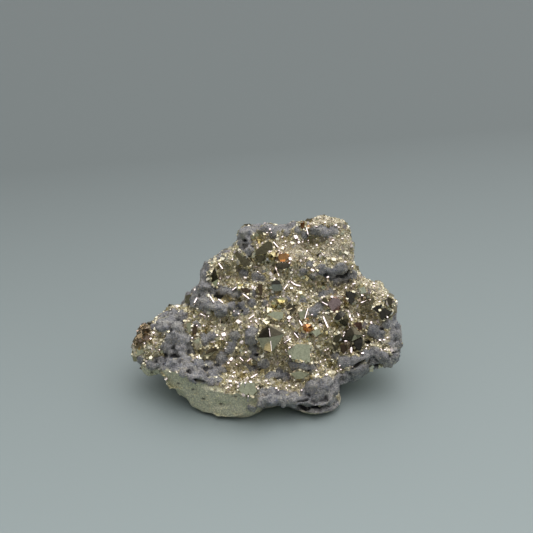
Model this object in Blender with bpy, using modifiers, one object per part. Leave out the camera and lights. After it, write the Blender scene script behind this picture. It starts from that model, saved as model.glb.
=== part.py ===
"""Pyrite cluster specimen: one mass of grey crust and massive pyrite, with crystals grown from it.

The mass is laid out on its crystal face, a slope that leans back from the foot. A place on it is given
in millimetres as (across, up, out): across runs to the right, up runs up the slope, and out stands
square off the face. World units are metres, +Z is up, -Y is the side that the crystal face looks to,
and the specimen rests on z = 0.
"""
import math

import bmesh
import bpy
from mathutils import Euler, Matrix, Vector
from mathutils.bvhtree import BVHTree

MM = 0.001
NODE = "pyrite_cluster"

# The lean of the crystal face from the horizontal, and the world place of its foot.
FACE_LEAN = math.radians(54)
FACE_FOOT = Vector((-1.0, -28.2, 0.0))

BLEND_VOXEL = 1.3          # grid size that fuses the lumps into one skin
GRAIN_SIZE = 4.0           # size of the rounded lumps of crust
GRAIN_RELIEF = 2.8         # how far they stand out
MASS_TRIANGLES = 6400      # facets left on the fused mass
CRYSTAL_SUNK = 0.15        # share of a crystal's half size that is buried in the mass
CUTTER_SIZE = 120.0
RAY_START = 90.0

# Rounded lumps of the mass: name, centre on the face, half sizes, turn about across, up and out.
LUMPS = (
    ("heart", (2, 30, -18), (30, 26, 17.5), (0, 0, 0)),
    ("heart right", (22, 30, -17), (22, 20, 15.5), (0, 0, 0)),
    ("heart left", (-18, 24, -17), (24, 17, 15), (0, 0, -14)),
    ("heart upper", (6, 52, -16), (21, 13, 13), (0, 0, 8)),
    ("bulk under", (-6, 32, -30), (27, 20, 20), (0, 0, 0)),
    ("bulk under right", (17, 36, -28), (20, 18, 18), (0, 0, 0)),
    ("bulk rear", (4, 44, -26), (22, 14, 14), (0, 0, 0)),
    ("left tip", (-40.5, 24, -7), (6.4, 7.6, 7), (0, 0, 12)),
    ("left tip low", (-40.5, 19.5, -7), (6.4, 5.5, 6), (0, 0, -20)),
    ("left crust", (-33.5, 27.6, -9), (7.2, 6.8, 9), (0, 0, 24)),
    ("left crust low", (-30, 25, -5), (5.5, 5.5, 5), (0, 0, 0)),
    ("left knob", (-25, 37.5, -10), (3.8, 4.2, 6), (0, 0, 0)),
    ("left step", (-21, 43, -11), (4.6, 4.5, 8), (0, 0, 20)),
    ("upper left step", (-18.5, 49.5, -12), (4.8, 5, 8), (0, 0, 20)),
    ("upper left bank", (-13, 53.6, -12), (6, 4.6, 9), (0, 0, 34)),
    ("top left block", (-5.4, 61.4, -12), (5.4, 5.6, 8), (0, 0, 20)),
    ("top crust", (2, 63.5, -12), (5.5, 4.6, 8), (0, 0, 0)),
    ("top ridge", (10.5, 62.7, -12), (6.5, 5.4, 8), (0, 0, 0)),
    ("gold block top", (21, 65.6, -11.5), (7.4, 4.4, 8.5), (0, 0, -6)),
    ("saddle crust", (19.5, 50, -8), (7, 4.5, 7), (0, 0, -10)),
    ("right shoulder", (35, 43, -11), (8.8, 6.4, 10), (0, 0, -32)),
    ("right upper rim", (42, 36, -9), (5.4, 7.4, 9), (0, 0, -2)),
    ("right rim", (43.5, 26, -8), (5.6, 8, 9), (0, 0, 0)),
    ("right lobe", (41, 21.5, -6), (6.2, 6, 8), (0, 0, 20)),
    ("right ledge", (31, 18, -8), (8, 6.4, 9), (0, 0, 26)),
    ("centre right crust", (36.5, 29, -5.5), (4, 3.5, 4), (0, 0, 0)),
    ("centre grey lump", (-5, 28, -3), (3.2, 3.6, 4), (0, 0, 0)),
    ("under trapezoid", (11.5, 17, -4), (5, 4, 5), (0, 0, 0)),
    ("upper left band", (-17, 37, -5.5), (8, 3.6, 5), (0, 0, -8)),
    ("lower left band", (-25.5, 16.5, -3.5), (8, 4.2, 5), (0, 0, -16)),
    ("lower left knob", (-18.5, 12.5, -2), (4.2, 4, 5), (0, 0, 0)),
    ("lower right lobe", (18.5, 9, -5), (8, 8, 8), (0, 0, 0)),
    ("lower right knob", (10.5, 7, -5), (5, 5, 7), (0, 0, 0)),
    ("shell rim", (17, 4, -6), (9.4, 4.8, 9), (0, 0, 12)),
    ("foot", (-12, 6, -4), (14, 8, 14), (0, 0, -6)),
    ("foot left", (-24.4, 11.8, -5), (13, 6.8, 13), (0, 0, -30)),
    ("foot right", (2, 9, -7), (10, 6.6, 9), (0, 0, 0)),
)

# Blocky masses with flat sides: name, centre on the face, half sizes, turn.
BLOCKS = (
    ("gold block", (24.3, 57.6, -11.5), (6.2, 8.8, 9), (-6, 4, 9)),
)

# Crystals that stand out of the mass: name, kind, place on the face (across, up), half size, turn.
# Where the mass is solid behind them, they are seated on its surface.
FRONT_CRYSTALS = (
    ("great octahedron", "octahedron", (1.4, 26.5), 5.2, (-16, 8, 8)),
    ("pale step", "cube", (11, 21.5), 3.9, (18, -8, -12)),
    ("khaki step", "cube", (2.6, 34.5), 2.2, (24, 20, 10)),
    ("dark olive", "octahedron", (-1, 57), 4.3, (20, -30, 30)),
    ("long green", "bar", (-8, 55), 3.6, (10, 10, -48)),
    ("upper dark", "octahedron", (6.4, 51.5), 3.4, (-20, 24, 40)),
    ("middle dark", "cube", (3.4, 45.4), 2.3, (-30, 10, 5)),
    ("purple", "octahedron", (23.5, 38.5), 3.4, (10, 20, 15)),
    ("shoulder dark", "octahedron", (29, 41), 3.1, (0, 30, 20)),
    ("right dark", "cube", (25.7, 33.7), 2.5, (-24, 30, 24)),
    ("cross left", "octahedron", (38.4, 37.6), 2.6, (10, -10, 40)),
    ("cross right", "octahedron", (41, 35.4), 3.0, (20, 24, 12)),
    ("rim dark", "cube", (42.4, 40), 1.6, (10, 30, 10)),
    ("right small", "cube", (31.3, 31), 1.9, (-20, 10, 30)),
    ("right great", "octahedron", (30, 28.4), 4.2, (-14, 16, 30)),
    ("right low", "octahedron", (31.6, 24.6), 2.8, (16, -12, 10)),
    ("right olive", "cube", (24.4, 27), 1.7, (-10, 30, 20)),
    ("gold knob", "cube", (2.1, 55.6), 1.3, (30, 30, 0)),
    ("low khaki", "cube", (-6.4, 9.5), 2.6, (16, 10, -30)),
    ("brown", "octahedron", (-19, 23), 2.6, (0, 20, 20)),
    ("left khaki", "cube", (-26.4, 30), 1.7, (20, -20, 10)),
    ("left brown", "cube", (-7.2, 43.4), 2.0, (10, 30, 40)),
    ("left of middle", "octahedron", (-2.2, 44.4), 2.3, (30, 0, 10)),
    ("tarnished", "cube", (14, 30.6), 1.5, (30, 20, 30)),
    ("bright diamond", "octahedron", (7.8, 34.2), 1.9, (0, 0, 20)),
)
REAR_CRYSTALS = (
    ("rear great", "octahedron", (-12, 46), 4.4, (20, 10, 20)),
    ("rear step", "cube", (6, 52), 3.0, (20, -30, 10)),
    ("rear dark", "octahedron", (22, 44), 3.6, (-20, 20, 40)),
    ("rear left", "cube", (-26, 36), 2.6, (10, 30, 30)),
)

# Flat breaks, each a plane that takes off what lies beyond it: name, a point on the plane and the
# way it faces, both in world axes, the point in millimetres.
BREAKS = (
    ("left underside", (-21.5, -1.0, 0.0), (-0.46, 0.10, -0.88)),
    ("right underside", (20.5, -5.0, 0.0), (0.46, 0.12, -0.88)),
    ("rear underside", (-0.5, 16.0, 0.0), (0.06, 0.42, -0.90)),
    ("rear break", (-8.5, 25.5, 20.0), (-0.15, 0.97, -0.12)),
    ("rear right break", (23.5, 25.0, 24.0), (0.35, 0.92, 0.05)),
    ("front break", (-12.5, -28.4, 0.0), (-0.24, -0.95, -0.16)),
)

# The shallow hollow under the middle, a ball that reaches up into the mass: centre and radius.
VAULT_CENTRE = (0.5, -3.0, -57.4)
VAULT_RADIUS = 60.0


def face_frame():
    """Matrix from (across, up, out) in millimetres to world metres."""
    across = Vector((1.0, 0.0, 0.0))
    up = Vector((0.0, math.cos(FACE_LEAN), math.sin(FACE_LEAN)))
    out = across.cross(up)
    axes = Matrix((across, up, out)).transposed().to_4x4()
    return Matrix.Scale(MM, 4) @ Matrix.Translation(FACE_FOOT) @ axes


def place(centre, half_sizes, turn):
    """World matrix of a unit shape put on the crystal face."""
    spin = Euler([math.radians(angle) for angle in turn]).to_matrix().to_4x4()
    return face_frame() @ Matrix.Translation(centre) @ spin @ Matrix.Diagonal((*half_sizes, 1.0))


def clear_scene():
    for old in list(bpy.data.objects):
        bpy.data.objects.remove(old, do_unlink=True)


def new_object(name, shape, collection):
    mesh = bpy.data.meshes.new(name)
    shape.to_mesh(mesh)
    shape.free()
    made = bpy.data.objects.new(name, mesh)
    collection.objects.link(made)
    return made


def make_material():
    """Pale brass pyrite, dulled by the grey crust between its crystals."""
    pyrite = bpy.data.materials.new("pyrite")
    pyrite.use_nodes = True
    shader = pyrite.node_tree.nodes["Principled BSDF"]
    shader.inputs["Base Color"].default_value = (0.42, 0.38, 0.25, 1.0)
    shader.inputs["Metallic"].default_value = 0.7
    shader.inputs["Roughness"].default_value = 0.4
    return pyrite


def hide_as_cutter(made):
    made.hide_render = True
    made.display_type = "WIRE"


def make_mass(collection):
    """The lumps and blocks in one mesh, still as separate overlapping shells."""
    shape = bmesh.new()
    for _, centre, half_sizes, turn in LUMPS:
        bmesh.ops.create_icosphere(shape, subdivisions=3, radius=1.0,
                                   matrix=place(centre, half_sizes, turn))
    for _, centre, half_sizes, turn in BLOCKS:
        bmesh.ops.create_cube(shape, size=2.0, matrix=place(centre, half_sizes, turn))
    return new_object(NODE, shape, collection)


def make_break(name, point, facing, collection):
    """A big cube whose one face is the plane of the break."""
    shape = bmesh.new()
    bmesh.ops.create_cube(shape, size=1.0)
    cutter = new_object(name, shape, collection)
    normal = Vector(facing).normalized()
    centre = Vector(point) + normal * CUTTER_SIZE / 2
    turn = normal.to_track_quat("Z", "Y").to_matrix().to_4x4()
    cutter.matrix_world = (Matrix.Translation(centre * MM) @ turn
                           @ Matrix.Scale(CUTTER_SIZE * MM, 4))
    hide_as_cutter(cutter)
    return cutter


def make_vault(collection):
    shape = bmesh.new()
    bmesh.ops.create_icosphere(shape, subdivisions=5, radius=VAULT_RADIUS * MM,
                               matrix=Matrix.Translation(Vector(VAULT_CENTRE) * MM))
    vault = new_object("vault", shape, collection)
    hide_as_cutter(vault)
    return vault


def add_boolean(target, cutter, operation):
    cut = target.modifiers.new(cutter.name, "BOOLEAN")
    cut.operation = operation
    cut.solver = "EXACT"
    cut.object = cutter


def add_remesh(target, name):
    fuse = target.modifiers.new(name, "REMESH")
    fuse.mode = "VOXEL"
    fuse.voxel_size = BLEND_VOXEL * MM


def add_grain(target):
    """Rounded lumps of crust, pushed out of the skin by a smooth noise."""
    clouds = bpy.data.textures.new("crust grain", "CLOUDS")
    clouds.noise_scale = GRAIN_SIZE * MM
    clouds.noise_depth = 1
    grain = target.modifiers.new("grain", "DISPLACE")
    grain.texture = clouds
    grain.texture_coords = "LOCAL"
    grain.strength = GRAIN_RELIEF * MM
    grain.mid_level = 0.5


def add_facets(target, triangles_before):
    """Thin the skin out to the facets that the solid can afford."""
    thin = target.modifiers.new("facets", "DECIMATE")
    thin.ratio = MASS_TRIANGLES / triangles_before


def evaluated_shape(target):
    """The mesh that the modifiers give, in world metres, as a bmesh."""
    graph = bpy.context.evaluated_depsgraph_get()
    shape = bmesh.new()
    shape.from_object(target, graph)
    shape.transform(target.matrix_world)
    return shape


def triangle_count(target):
    shape = evaluated_shape(target)
    count = sum(len(face.verts) - 2 for face in shape.faces)
    shape.free()
    return count


def seat(tree, across, up, side):
    """The point of the mass under (across, up), looked at from in front (1) or from the rear (-1)."""
    frame = face_frame()
    start = frame @ Vector((across, up, side * RAY_START))
    way = (frame.to_3x3() @ Vector((0, 0, -side))).normalized()
    hit = tree.ray_cast(start, way)[0]
    return frame.inverted() @ hit


def crystal_shape(kind, half_size, matrix):
    shape = bmesh.new()
    if kind == "octahedron":
        bmesh.ops.create_uvsphere(shape, u_segments=4, v_segments=2, radius=1.0, matrix=matrix)
    else:
        stretch = Matrix.Diagonal((0.5, 1.4, 0.7, 1.0)) if kind == "bar" else Matrix.Identity(4)
        bmesh.ops.create_cube(shape, size=2.0, matrix=matrix @ stretch)
    return shape


def add_crystals(mass, crystals, side, tree, collection):
    for name, kind, (across, up), half_size, turn in crystals:
        centre = seat(tree, across, up, side)
        centre.z -= side * half_size * CRYSTAL_SUNK
        matrix = place(centre, (half_size,) * 3, turn)
        crystal = new_object(name, crystal_shape(kind, half_size, matrix), collection)
        hide_as_cutter(crystal)
        add_boolean(mass, crystal, "UNION")


def main():
    clear_scene()
    scene_root = bpy.context.scene.collection
    parts = bpy.data.collections.new(NODE)
    cutters = bpy.data.collections.new("cutters")
    scene_root.children.link(parts)
    scene_root.children.link(cutters)
    mass = make_mass(parts)
    mass.data.materials.append(make_material())
    add_remesh(mass, "fuse")
    for name, point, facing in BREAKS:
        add_boolean(mass, make_break(name, point, facing, cutters), "DIFFERENCE")
    add_boolean(mass, make_vault(cutters), "DIFFERENCE")
    add_remesh(mass, "fuse breaks")
    add_grain(mass)
    add_facets(mass, triangle_count(mass))
    shape = evaluated_shape(mass)
    tree = BVHTree.FromBMesh(shape)
    shape.free()
    add_crystals(mass, FRONT_CRYSTALS, 1, tree, cutters)
    add_crystals(mass, REAR_CRYSTALS, -1, tree, cutters)
    add_boolean(mass, make_break("floor", (0, 0, 0), (0, 0, -1), cutters), "DIFFERENCE")


main()
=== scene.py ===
import math

import bmesh
import bpy
import numpy as np
from mathutils import Matrix, Vector, noise
from mathutils.bvhtree import BVHTree


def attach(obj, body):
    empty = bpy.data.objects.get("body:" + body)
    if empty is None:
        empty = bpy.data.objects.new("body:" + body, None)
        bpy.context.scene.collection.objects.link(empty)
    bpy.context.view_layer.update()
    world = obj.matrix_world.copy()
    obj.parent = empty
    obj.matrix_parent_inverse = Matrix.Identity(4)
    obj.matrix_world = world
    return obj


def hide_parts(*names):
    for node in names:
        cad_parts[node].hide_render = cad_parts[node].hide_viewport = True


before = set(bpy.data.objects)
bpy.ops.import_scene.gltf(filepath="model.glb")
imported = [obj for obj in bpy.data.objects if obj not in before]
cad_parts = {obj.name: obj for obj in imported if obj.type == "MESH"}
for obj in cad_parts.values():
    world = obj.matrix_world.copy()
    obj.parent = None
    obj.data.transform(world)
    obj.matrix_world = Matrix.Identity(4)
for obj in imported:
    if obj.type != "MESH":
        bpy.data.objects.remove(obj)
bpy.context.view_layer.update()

# The looks of the pyrite cluster. Sizes are in millimetres where a name or a list says so, and in
# metres in Blender. Places seen by the camera are pixels of the 533 x 533 picture: x to the right,
# y down. Each one is carried to the mass along the camera's ray.

MM = 0.001
NODE = "pyrite_cluster"
FRAME_PIXELS = 533

# Camera, millimetres and degrees.
CAMERA_PLACE = Vector((-0.5, -212.9, 175.6))
CAMERA_DOWN = 32.06
CAMERA_LENS = 50.0
SENSOR_WIDTH = 36.0
FACE_LEAN = math.radians(54)

# Mass.
SKIN_VOXEL = 0.49
SKIN_SMOOTHING = 12
SKIN_DRAWN_IN = 0.50
NODULE_SUNK = 0.22
SATELLITES = 6
SOCKET_DEPTH = 2.4
CREASE_DEPTH = 0.5
SEED = 20

# Main light: place in metres, width in metres and power in watts.
KEY_PLACE = (0.02, 0.17, 0.80)
KEY_SIZE = 0.26
KEY_POWER = 0.205
KEY_COLOUR = (1.0, 0.89, 0.95)
FLOOR_COLOUR = (0.352, 0.427, 0.418)
# Smaller lamps beside it: across and back in metres, power in watts.
LAMPS = ((-0.28, 0.05, 0.10), (0.30, 0.06, 0.10), (0.02, -0.18, 0.10), (0.10, 0.44, 0.10))


# ---------------------------------------------------------------- places

class View:
    """The camera's view of the mass: pixels to rays, and points to pixels."""

    def __init__(self):
        down = math.radians(CAMERA_DOWN)
        self.place = CAMERA_PLACE * MM
        self.forward = Vector((0.0, math.cos(down), -math.sin(down)))
        self.up = Vector((0.0, math.sin(down), math.cos(down)))
        self.right = Vector((1.0, 0.0, 0.0))
        self.centre = FRAME_PIXELS / 2
        self.focal = CAMERA_LENS / SENSOR_WIDTH * FRAME_PIXELS

    def ray(self, px, py):
        sideways = self.right * ((px - self.centre) / self.focal)
        upwards = self.up * ((self.centre - py) / self.focal)
        return (self.forward + sideways + upwards).normalized()

    def pixels(self, points):
        """The pixel of each row of an array of points in metres."""
        away = points - np.array(self.place)
        depth = away @ np.array(self.forward)
        x = self.centre + self.focal * (away @ np.array(self.right)) / depth
        y = self.centre - self.focal * (away @ np.array(self.up)) / depth
        return np.stack([x, y], 1)


def face_axes():
    """Columns across, up and out of the crystal face, which leans back."""
    across = Vector((1.0, 0.0, 0.0))
    up = Vector((0.0, math.cos(FACE_LEAN), math.sin(FACE_LEAN)))
    out = across.cross(up)
    return Matrix((across, up, out)).transposed()


VIEW = View()
FACE = face_axes()


# ---------------------------------------------------------------- small helpers

def new_piece(name, mesh, material):
    piece = bpy.data.objects.new(name, mesh)
    bpy.context.scene.collection.objects.link(piece)
    mesh.materials.append(material)
    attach(piece, "root")
    return piece


def applied(thing):
    """The thing's mesh with its modifiers applied, as a new mesh."""
    graph = bpy.context.evaluated_depsgraph_get()
    return bpy.data.meshes.new_from_object(thing.evaluated_get(graph))


def coordinates(mesh):
    found = np.empty(len(mesh.vertices) * 3, np.float32)
    mesh.vertices.foreach_get("co", found)
    return found.reshape(-1, 3).astype(float)


def normals(mesh):
    found = np.empty(len(mesh.vertices) * 3, np.float32)
    mesh.vertex_normals.foreach_get("vector", found)
    return found.reshape(-1, 3).astype(float)


def smoothstep(low, high, value):
    t = np.clip((value - low) / (high - low), 0.0, 1.0)
    return t * t * (3 - 2 * t)


def noise_at(points, size, seed=0):
    """Smooth noise from -1 to 1 at points in metres, with lumps of a size in millimetres."""
    shift = Vector((seed * 7.31, seed * 3.17, seed * 5.71))
    scale = 1.0 / (size * MM)
    return np.array([noise.noise(Vector(p) * scale + shift) for p in points])


def domes_at(points, size, seed=0):
    """Rounded domes packed side by side: 1 on top of each, falling to creases between them."""
    shift = Vector((seed * 7.31, seed * 3.17, seed * 5.71))
    scale = 1.0 / (size * MM)
    nearest = np.array([noise.voronoi(Vector(p) * scale + shift)[0][0] for p in points])
    return 1.0 - nearest ** 2


# ---------------------------------------------------------------- zones of the surface

# Round lumps of grey crust on the crystal face: pixel of the centre, radius in pixels.
NODULES = (
    # left end
    (187, 300, 8), (164, 314, 7), (173, 313, 6), (182, 315, 6), (162, 326, 6.5), (178, 327, 7),
    (172, 338, 7), (184, 338, 7), (196, 325, 4.5), (203, 340, 6), (211, 336, 5), (221, 358, 6.5),
    (165, 347, 5), (152, 364, 6), (161, 363, 6), (172, 362, 8), (184, 359, 7), (190, 366, 6),
    (181, 350, 6), (194, 377, 6), (203, 372, 7), (212, 374, 6), (184, 373, 5), (198, 364, 6),
    (217, 368, 6), (229, 350, 4.5), (140, 359, 4), (193, 349, 5), (169, 353, 5), (154, 327, 4),
    (209, 363, 5), (223, 370, 4), (204, 379, 5), (211, 382, 4.5), (219, 380, 4), (156, 366, 3.5), (164, 368, 3.5),
    # upper left
    (202, 267, 5), (204, 275, 5.5), (201, 283, 4.5), (206, 260, 4), (213, 259, 4), (219, 257, 4),
    (226, 248, 5), (235, 238, 5.5), (243, 231, 5), (249, 229, 5), (257, 226, 6), (247, 241, 5),
    (240, 243, 4), (266, 227, 4.5), (281, 225, 6), (292, 225, 5), (298, 230, 4), (232, 246, 4),
    (213, 290, 6), (222, 291, 6), (229, 292, 5), (236, 294, 5), (206, 286, 5), (199, 289, 4.5),
    (195, 295, 5), (244, 274, 5), (256, 277, 4.5), (262, 278, 4), (253, 293, 4.5), (252, 303, 4.5),
    (200, 301, 7), (208, 305, 5), (216, 306, 6), (221, 312, 6.5), (232, 306, 5), (241, 305, 4.5),
    (273, 235, 4), (287, 233, 4), (305, 235, 4),
    # middle
    (252, 333, 7), (251, 341, 6.5), (253, 348, 4.5), (235, 336, 5.5), (231, 346, 5), (255, 356, 5),
    (263, 364, 6), (294, 364, 6.5), (301, 366, 7), (309, 366, 6.5), (279, 375, 6), (270, 376, 5),
    (246, 311, 4), (236, 313, 4), (313, 312, 5.5), (319, 307, 5), (283, 313, 4), (273, 298, 4),
    (286, 377, 4.5), (303, 300, 4), (287, 300, 3.5), (264, 303, 3.5),
    # upper right
    (315, 231, 5), (324, 232, 6), (333, 231, 5.5), (341, 269, 6.5), (332, 273, 6), (322, 269, 5.5),
    (346, 278, 5.5), (337, 281, 5), (310, 264, 4), (323, 295, 5), (331, 291, 4), (353, 275, 5),
    (313, 277, 4), (303, 272, 4),
    # right end
    (374, 331, 7), (379, 335, 6), (387, 324, 5), (396, 325, 6), (398, 335, 6), (398, 345, 5.5),
    (395, 355, 6), (388, 362, 6), (394, 313, 5), (390, 303, 4.5), (375, 352, 6), (383, 357, 6),
    (373, 361, 5), (391, 345, 4), (344, 362, 6.5), (355, 360, 5), (335, 355, 4.5), (366, 354, 5),
    (364, 358, 4.5),
    # lower edge
    (345, 377, 6.5), (357, 372, 6), (365, 368, 5), (352, 380, 5), (338, 380, 5.5), (336, 389, 5),
    (312, 387, 7.5), (322, 386, 7.5), (330, 393, 6.5), (318, 396, 7), (305, 393, 5), (328, 380, 5.5),
    (262, 402, 6), (272, 399, 6), (283, 401, 6), (293, 403, 6), (262, 393, 5.5), (271, 392, 6),
    (283, 393, 5.5), (294, 395, 5), (376, 366, 4), (252, 408, 5),
)
# Thin shells of crust that curl round the lowest lobe: pixels along each, thickness in mm.
SHELLS = (
    (((296, 408), (305, 411), (315, 412), (325, 411), (333, 408), (338, 403), (341, 396)), 0.8),
    (((309, 403), (316, 404.5), (323, 404), (329, 401), (332, 396)), 0.6),
)
# Places where the smooth skin stands out or lies back a little: pixel, half width, half height, mm.
SWELLS = (
    ((229, 414), 24, 9, 1.3), ((200, 408), 16, 8, 0.8), ((150, 371), 15, 8, 1.6),
    ((334, 405), 14, 12, 0.8), ((403, 325), 8, 30, -0.7), ((252, 225), 16, 8, 0.2),
    ((336, 219), 16, 7, 0.5), ((212, 262), 9, 9, 0.4), ((300, 410), 9, 6, -1.1),
    ((181, 303), 9, 7, -2.0), ((372, 276), 16, 6, -1.6), ((156, 322), 12, 6, 0.6),
    ((276, 406), 16, 5, 0.8), ((344, 390), 5, 5, -0.8), ((136, 336), 8, 16, -0.9),
    ((218, 387), 34, 6, -2.2), ((352, 380), 11, 6, 0.9), ((399, 362), 7, 6, 0.9),
    ((280, 219), 20, 6, -0.5), ((198, 288), 6, 12, -0.5), ((392, 295), 6, 8, -0.5),
    ((349, 222), 6, 6, -0.5), ((144, 367), 7, 6, -0.7),
)
# Overhanging lips of the lower edge, drawn toward the camera: pixel, half width, half height, mm.
LIPS = (((282, 401), 34, 10, 5.5), ((225, 414), 24, 7, 2.0), ((229, 389), 15, 7, -2.5), ((249, 382), 11, 6, 2.6))
# Patches that are grey crust between the lumps too: pixel, half width, half height, turn.
CRUST_PATCHES = (
    ((171, 321), 16, 11, 0), ((180, 345), 15, 20, 0), ((170, 363), 22, 8, 0), ((202, 373), 22, 8, 5),
    ((196, 299), 15, 10, 0), ((203, 282), 6, 14, 0), ((222, 292), 16, 6, 0), ((213, 307), 16, 6, 0),
    ((322, 389), 18, 14, 0), ((319, 404), 24, 10, 0), ((285, 403), 32, 9, 0), ((272, 393), 14, 6, 0),
    ((397, 333), 7, 32, 0), ((379, 359), 18, 7, 0), ((352, 375), 22, 8, 20), ((376, 332), 9, 7, 0),
    ((325, 232), 13, 7, 0), ((334, 273), 17, 7, 0), ((242, 234), 11, 9, 20), ((268, 226), 30, 7, 3),
    ((300, 366), 12, 6, 0), ((252, 337), 7, 9, 0), ((140, 360), 5, 5, 0), ((222, 250), 12, 5, 35),
    ((205, 264), 5, 8, 0), ((346, 361), 9, 6, 0), ((247, 250), 10, 7, 0), ((252, 366), 7, 5, 0),
)
# The pale broken face along the lower left edge: pixel, half width, half height, turn.
MASSIVE_PATCHES = (
    ((216, 397), 46, 19, -9), ((170, 380), 38, 9, -17), ((160, 377), 26, 8, -10),
)
# Patches of crystals that reach into the pale face: pixel, half width, half height, turn.
CRYSTAL_PATCHES = (((231, 384), 12, 10, 0), ((243, 386), 8, 6, 0))
# Patches of very fine satin crystals: pixel, half width, half height, turn.
SATIN_PATCHES = (
    ((337, 252), 19, 13, -30), ((344, 236), 8, 10, 0), ((331, 221), 22, 5, 0), ((372, 284), 16, 6, -35),
    ((285, 252), 30, 12, 0),
)
# Patches of brown tarnish over the crystals: pixel, half width, half height, turn, how strong.
TARNISH_PATCHES = (
    ((139, 334), 17, 15, 35, 1.0), ((300, 312), 14, 8, 0, 0.25), ((262, 300), 14, 6, 0, 0.25),
    ((345, 345), 14, 10, 0, 0.2), ((230, 366), 14, 8, 0, 0.2),
)
# Deep gaps, pressed into the mass and painted near-black as shade: pixel, half width, half height, turn, depth in
# millimetres.
CREVICES = (
    ((188, 310), 6, 2.0, 8, 1.6), ((220, 297), 6, 2.0, -14, 1.8), ((238, 300), 4.5, 1.8, -25, 1.2),
    ((295, 304.5), 4, 3.2, 0, 2.2), ((272, 311), 3.4, 2.4, 0, 1.8), ((189, 371.5), 3.6, 1.6, -20, 1.6),
    ((199, 381), 8, 1.6, -12, 1.4), ((358, 365), 10, 2.0, 27, 2.0), ((378, 366), 6, 2.0, 10, 1.4),
    ((303, 373), 9, 1.8, 12, 1.6), ((244, 240.5), 3, 1.6, -10, 1.2), ((297, 335), 4, 2.4, -50, 1.4),
    ((303, 401), 7, 1.6, 15, 1.4), ((319, 407), 12, 1.2, 3, 1.4), ((320, 323), 4, 3.0, 0, 1.6),
    ((258, 355), 6, 2.0, 10, 1.0), ((292, 360), 5, 1.8, 0, 1.2), ((261, 386), 2.5, 2.5, 0, 1.2),
    ((176, 356), 6, 1.0, -4, 0.5), ((218, 365), 4, 1.2, 0, 1.0), ((323, 284), 4, 2.5, -30, 1.4),
    ((307, 247), 4, 2.0, 10, 1.2), ((262, 316), 2.5, 4, 0, 1.2), ((368, 342), 4, 1.8, 0, 1.2),
    ((222, 323), 3, 2.2, 0, 1.2), ((333, 333), 2, 2.6, 0, 1.0), ((386, 302), 1.5, 3, 0, 1.0),
    ((394, 352), 5, 1.2, 0, 1.0), ((346, 306), 3, 2, 0, 1.0), ((260, 370.5), 4, 1.3, 0, 1.0),
    ((279, 378), 4, 1.3, -10, 1.0),
)
# Small pits of the pale broken face, pressed in and painted dark as shade.
PITS = ((152, 373), (160, 371), (192, 389.5), (215, 390), (226, 392), (203, 399), (235, 396),
        (178, 384), (221, 404))


def ellipse(pixels, centre, half_width, half_height, turn=0.0):
    """Distance from the centre of an ellipse in shares of its size: 1 on its edge."""
    angle = math.radians(turn)
    x = pixels[:, 0] - centre[0]
    y = centre[1] - pixels[:, 1]
    along = x * math.cos(angle) + y * math.sin(angle)
    aside = y * math.cos(angle) - x * math.sin(angle)
    return np.sqrt((along / half_width) ** 2 + (aside / half_height) ** 2)


def seen_from_camera(points, facing, tree):
    """1 where the camera sees the mass, 0 where it doesn't."""
    to_camera = np.array(VIEW.place) - points
    to_camera /= np.linalg.norm(to_camera, axis=1)[:, None]
    front = smoothstep(-0.05, 0.12, (facing * to_camera).sum(1))
    for index in np.nonzero(front > 0)[0]:
        start = Vector(points[index] + facing[index] * 0.8 * MM)
        if tree.ray_cast(start, Vector(to_camera[index]), 0.2)[0] is not None:
            front[index] = 0.0
    return front


def hidden_pattern(points, facing):
    """Shares of grey crust and of pale massive pyrite on the sides that the camera doesn't see."""
    broad = noise_at(points, 17.0, 3) + 0.5 * noise_at(points, 6.0, 4)
    crust = smoothstep(-0.22, -0.02, broad)
    under = smoothstep(0.1, 0.5, -facing[:, 2])
    massive = under * (1 - 0.75 * crust)
    return crust * (1 - massive), massive


class Zones:
    """How much of each point of the mass is grey crust, pale massive pyrite or gap."""

    def __init__(self, points, facing, tree, near_nodule):
        pixels = VIEW.pixels(points)
        wander = np.stack([noise_at(points, 2.6, 1), noise_at(points, 2.6, 2)], 1)
        pixels = pixels + 2.5 * wander
        front = seen_from_camera(points, facing, tree)
        massive = np.zeros(len(points))
        for centre, wide, high, turn in MASSIVE_PATCHES:
            near = ellipse(pixels, centre, wide, high, turn)
            massive = np.maximum(massive, 1 - smoothstep(0.92, 1.08, near))
        for centre, wide, high, turn in CRYSTAL_PATCHES:
            massive *= smoothstep(0.85, 1.05, ellipse(pixels, centre, wide, high, turn))
        massive *= 1 - near_nodule
        crust = near_nodule.copy()
        for centre, wide, high, turn in CRUST_PATCHES:
            near = ellipse(pixels, centre, wide, high, turn)
            crust = np.maximum(crust, (1 - smoothstep(0.85, 1.05, near)) * (1 - massive))
        hidden_crust, hidden_massive = hidden_pattern(points, facing)
        self.front = front
        self.crust = crust * front + np.maximum(hidden_crust, near_nodule) * (1 - front)
        self.massive = np.minimum(massive * front + hidden_massive * (1 - front), 1 - self.crust)
        self.glitter = np.clip(1 - self.crust - self.massive, 0, 1)
        satin = np.zeros(len(points))
        for centre, wide, high, turn in SATIN_PATCHES:
            satin = np.maximum(satin, 1 - smoothstep(0.85, 1.1, ellipse(pixels, centre, wide, high, turn)))
        self.satin = satin * front * self.glitter
        self.gap = np.zeros(len(points))
        self.gap_depth = np.zeros(len(points))
        still = VIEW.pixels(points) + 0.6 * wander
        for centre, wide, high, turn, depth in CREVICES:
            near = 1 - smoothstep(0.3, 1.15, ellipse(still, centre, wide, high, turn))
            self.gap = np.maximum(self.gap, near * front)
            self.gap_depth = np.maximum(self.gap_depth, near * front * depth)
        for centre in PITS:
            near = 1 - smoothstep(0.4, 1.2, ellipse(still, centre, 1.5, 1.1))
            self.gap = np.maximum(self.gap, near * front)
            self.gap_depth = np.maximum(self.gap_depth, near * front * 0.7)


# ---------------------------------------------------------------- the mass

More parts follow.
